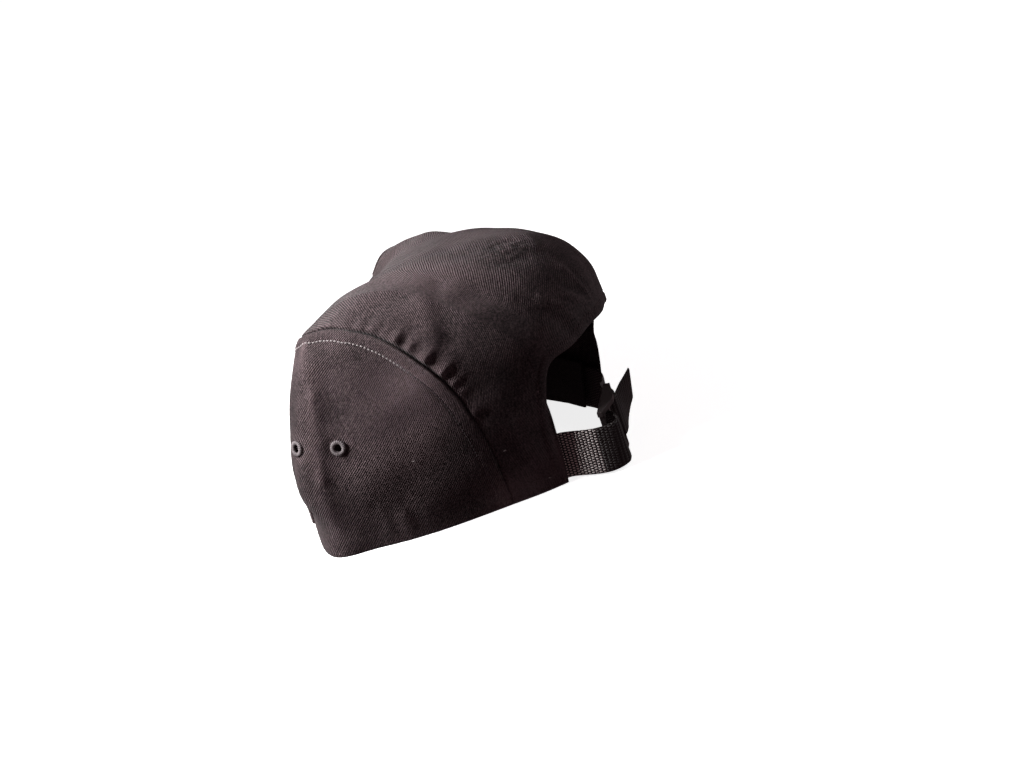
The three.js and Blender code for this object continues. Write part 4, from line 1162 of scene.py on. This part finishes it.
def floor():
    """Floor and backdrop in one: a profile, flat, then a quarter circle up, then upright, carried round
    a circle. It glows to white a little way off, lights nothing and throws no shade on the cap."""
    turn = np.linspace(0, 2 * np.pi, FLOOR_SIDES, endpoint=False)
    rise = np.linspace(0, np.pi / 2, COVE_STEPS)
    wall = FLOOR_REACH + COVE_RADIUS
    reach = np.concatenate([[FLOOR_HOLE], FLOOR_REACH + COVE_RADIUS * np.sin(rise), [wall]])[:, None]
    height = np.concatenate([[0.0], COVE_RADIUS * (1 - np.cos(rise)), [BACKDROP_HEIGHT]])[:, None]
    points = np.stack([reach * np.cos(turn), reach * np.sin(turn), height + FLOOR_LEVEL + 0 * turn], -1)
    faces = tube_faces(len(reach), len(turn), closed=False).tolist()
    mesh = bpy.data.meshes.new("floor")
    mesh.from_pydata(points.reshape(-1, 3).tolist(), [], faces + [list(range(len(turn)))])
    mesh.flip_normals()
    material, tree, shader = new_material("pale_floor")
    place = link(tree, "ShaderNodeTexCoord").outputs["Object"]
    away = link(tree, "ShaderNodeVectorMath", {"operation": "LENGTH"}, _0=place).outputs["Value"]
    glow = maths(tree, "MULTIPLY_ADD", away, GLOW_RISE, FLOOR_GLOW)
    tree.links.new(maths(tree, "MINIMUM", glow, 1.0), shader.inputs["Emission Strength"])
    shader.inputs["Emission Color"].default_value = (1, 1, 1, 1)
    shader.inputs["Base Color"].default_value = FLOOR_COLOUR
    shader.inputs["Roughness"].default_value = FLOOR_ROUGHNESS
    mesh.materials.append(material)
    surface = bpy.data.objects.new("floor", mesh)
    surface.visible_diffuse = False
    surface.visible_glossy = False
    surface.visible_shadow = False
    bpy.context.scene.collection.objects.link(surface)


def look_along(back, roll):
    """Rotation of a camera or light whose back faces the given direction, turned by roll degrees."""
    right = unit(np.cross([0.0, 0.0, 1.0], back))
    up = np.cross(back, right)
    turn = np.radians(roll)
    rolled_right = right * np.cos(turn) - up * np.sin(turn)
    rolled_up = right * np.sin(turn) + up * np.cos(turn)
    return Matrix(np.stack([rolled_right, rolled_up, back], 1).tolist()).to_4x4()


def softbox(name, aim, way, distance, size, power):
    """A square softbox that faces the cap from a direction, near enough for its light to fall off."""
    light = bpy.data.lights.new(name, "AREA")
    light.size = size
    light.energy = power
    holder = bpy.data.objects.new(name, light)
    place = to_row(aim) + unit(way) * distance
    holder.matrix_world = Matrix.Translation(place.tolist()) @ look_along(unit(way), 0.0)
    bpy.context.scene.collection.objects.link(holder)


def camera():
    """The camera, at its azimuth and elevation about the target."""
    azimuth, elevation = np.radians(CAMERA_AZIMUTH), np.radians(CAMERA_ELEVATION)
    level = np.cos(elevation)
    back = np.array([np.sin(azimuth) * level, -np.cos(azimuth) * level, np.sin(elevation)])
    lens = bpy.data.cameras.new("camera")
    lens.lens = CAMERA_LENS
    lens.sensor_width = SENSOR_WIDTH
    holder = bpy.data.objects.new("camera", lens)
    place = to_row(CAMERA_TARGET + back * CAMERA_DISTANCE)
    holder.matrix_world = Matrix.Translation(place.tolist()) @ look_along(back, CAMERA_ROLL)
    bpy.context.scene.collection.objects.link(holder)
    bpy.context.scene.camera = holder


floor()
camera()
softbox("key", KEY_TARGET, KEY_WAY, KEY_DISTANCE, KEY_SIZE, KEY_POWER)
softbox("fill", CAMERA_TARGET, FILL_WAY, FILL_DISTANCE, FILL_SIZE, FILL_POWER)
world = bpy.data.worlds.new("studio")
world.use_nodes = True
world.node_tree.nodes["Background"].inputs["Color"].default_value = ROOM_COLOUR
world.node_tree.nodes["Background"].inputs["Strength"].default_value = ROOM_LIGHT
bpy.context.scene.world = world
bpy.context.scene.view_settings.view_transform = "Standard"
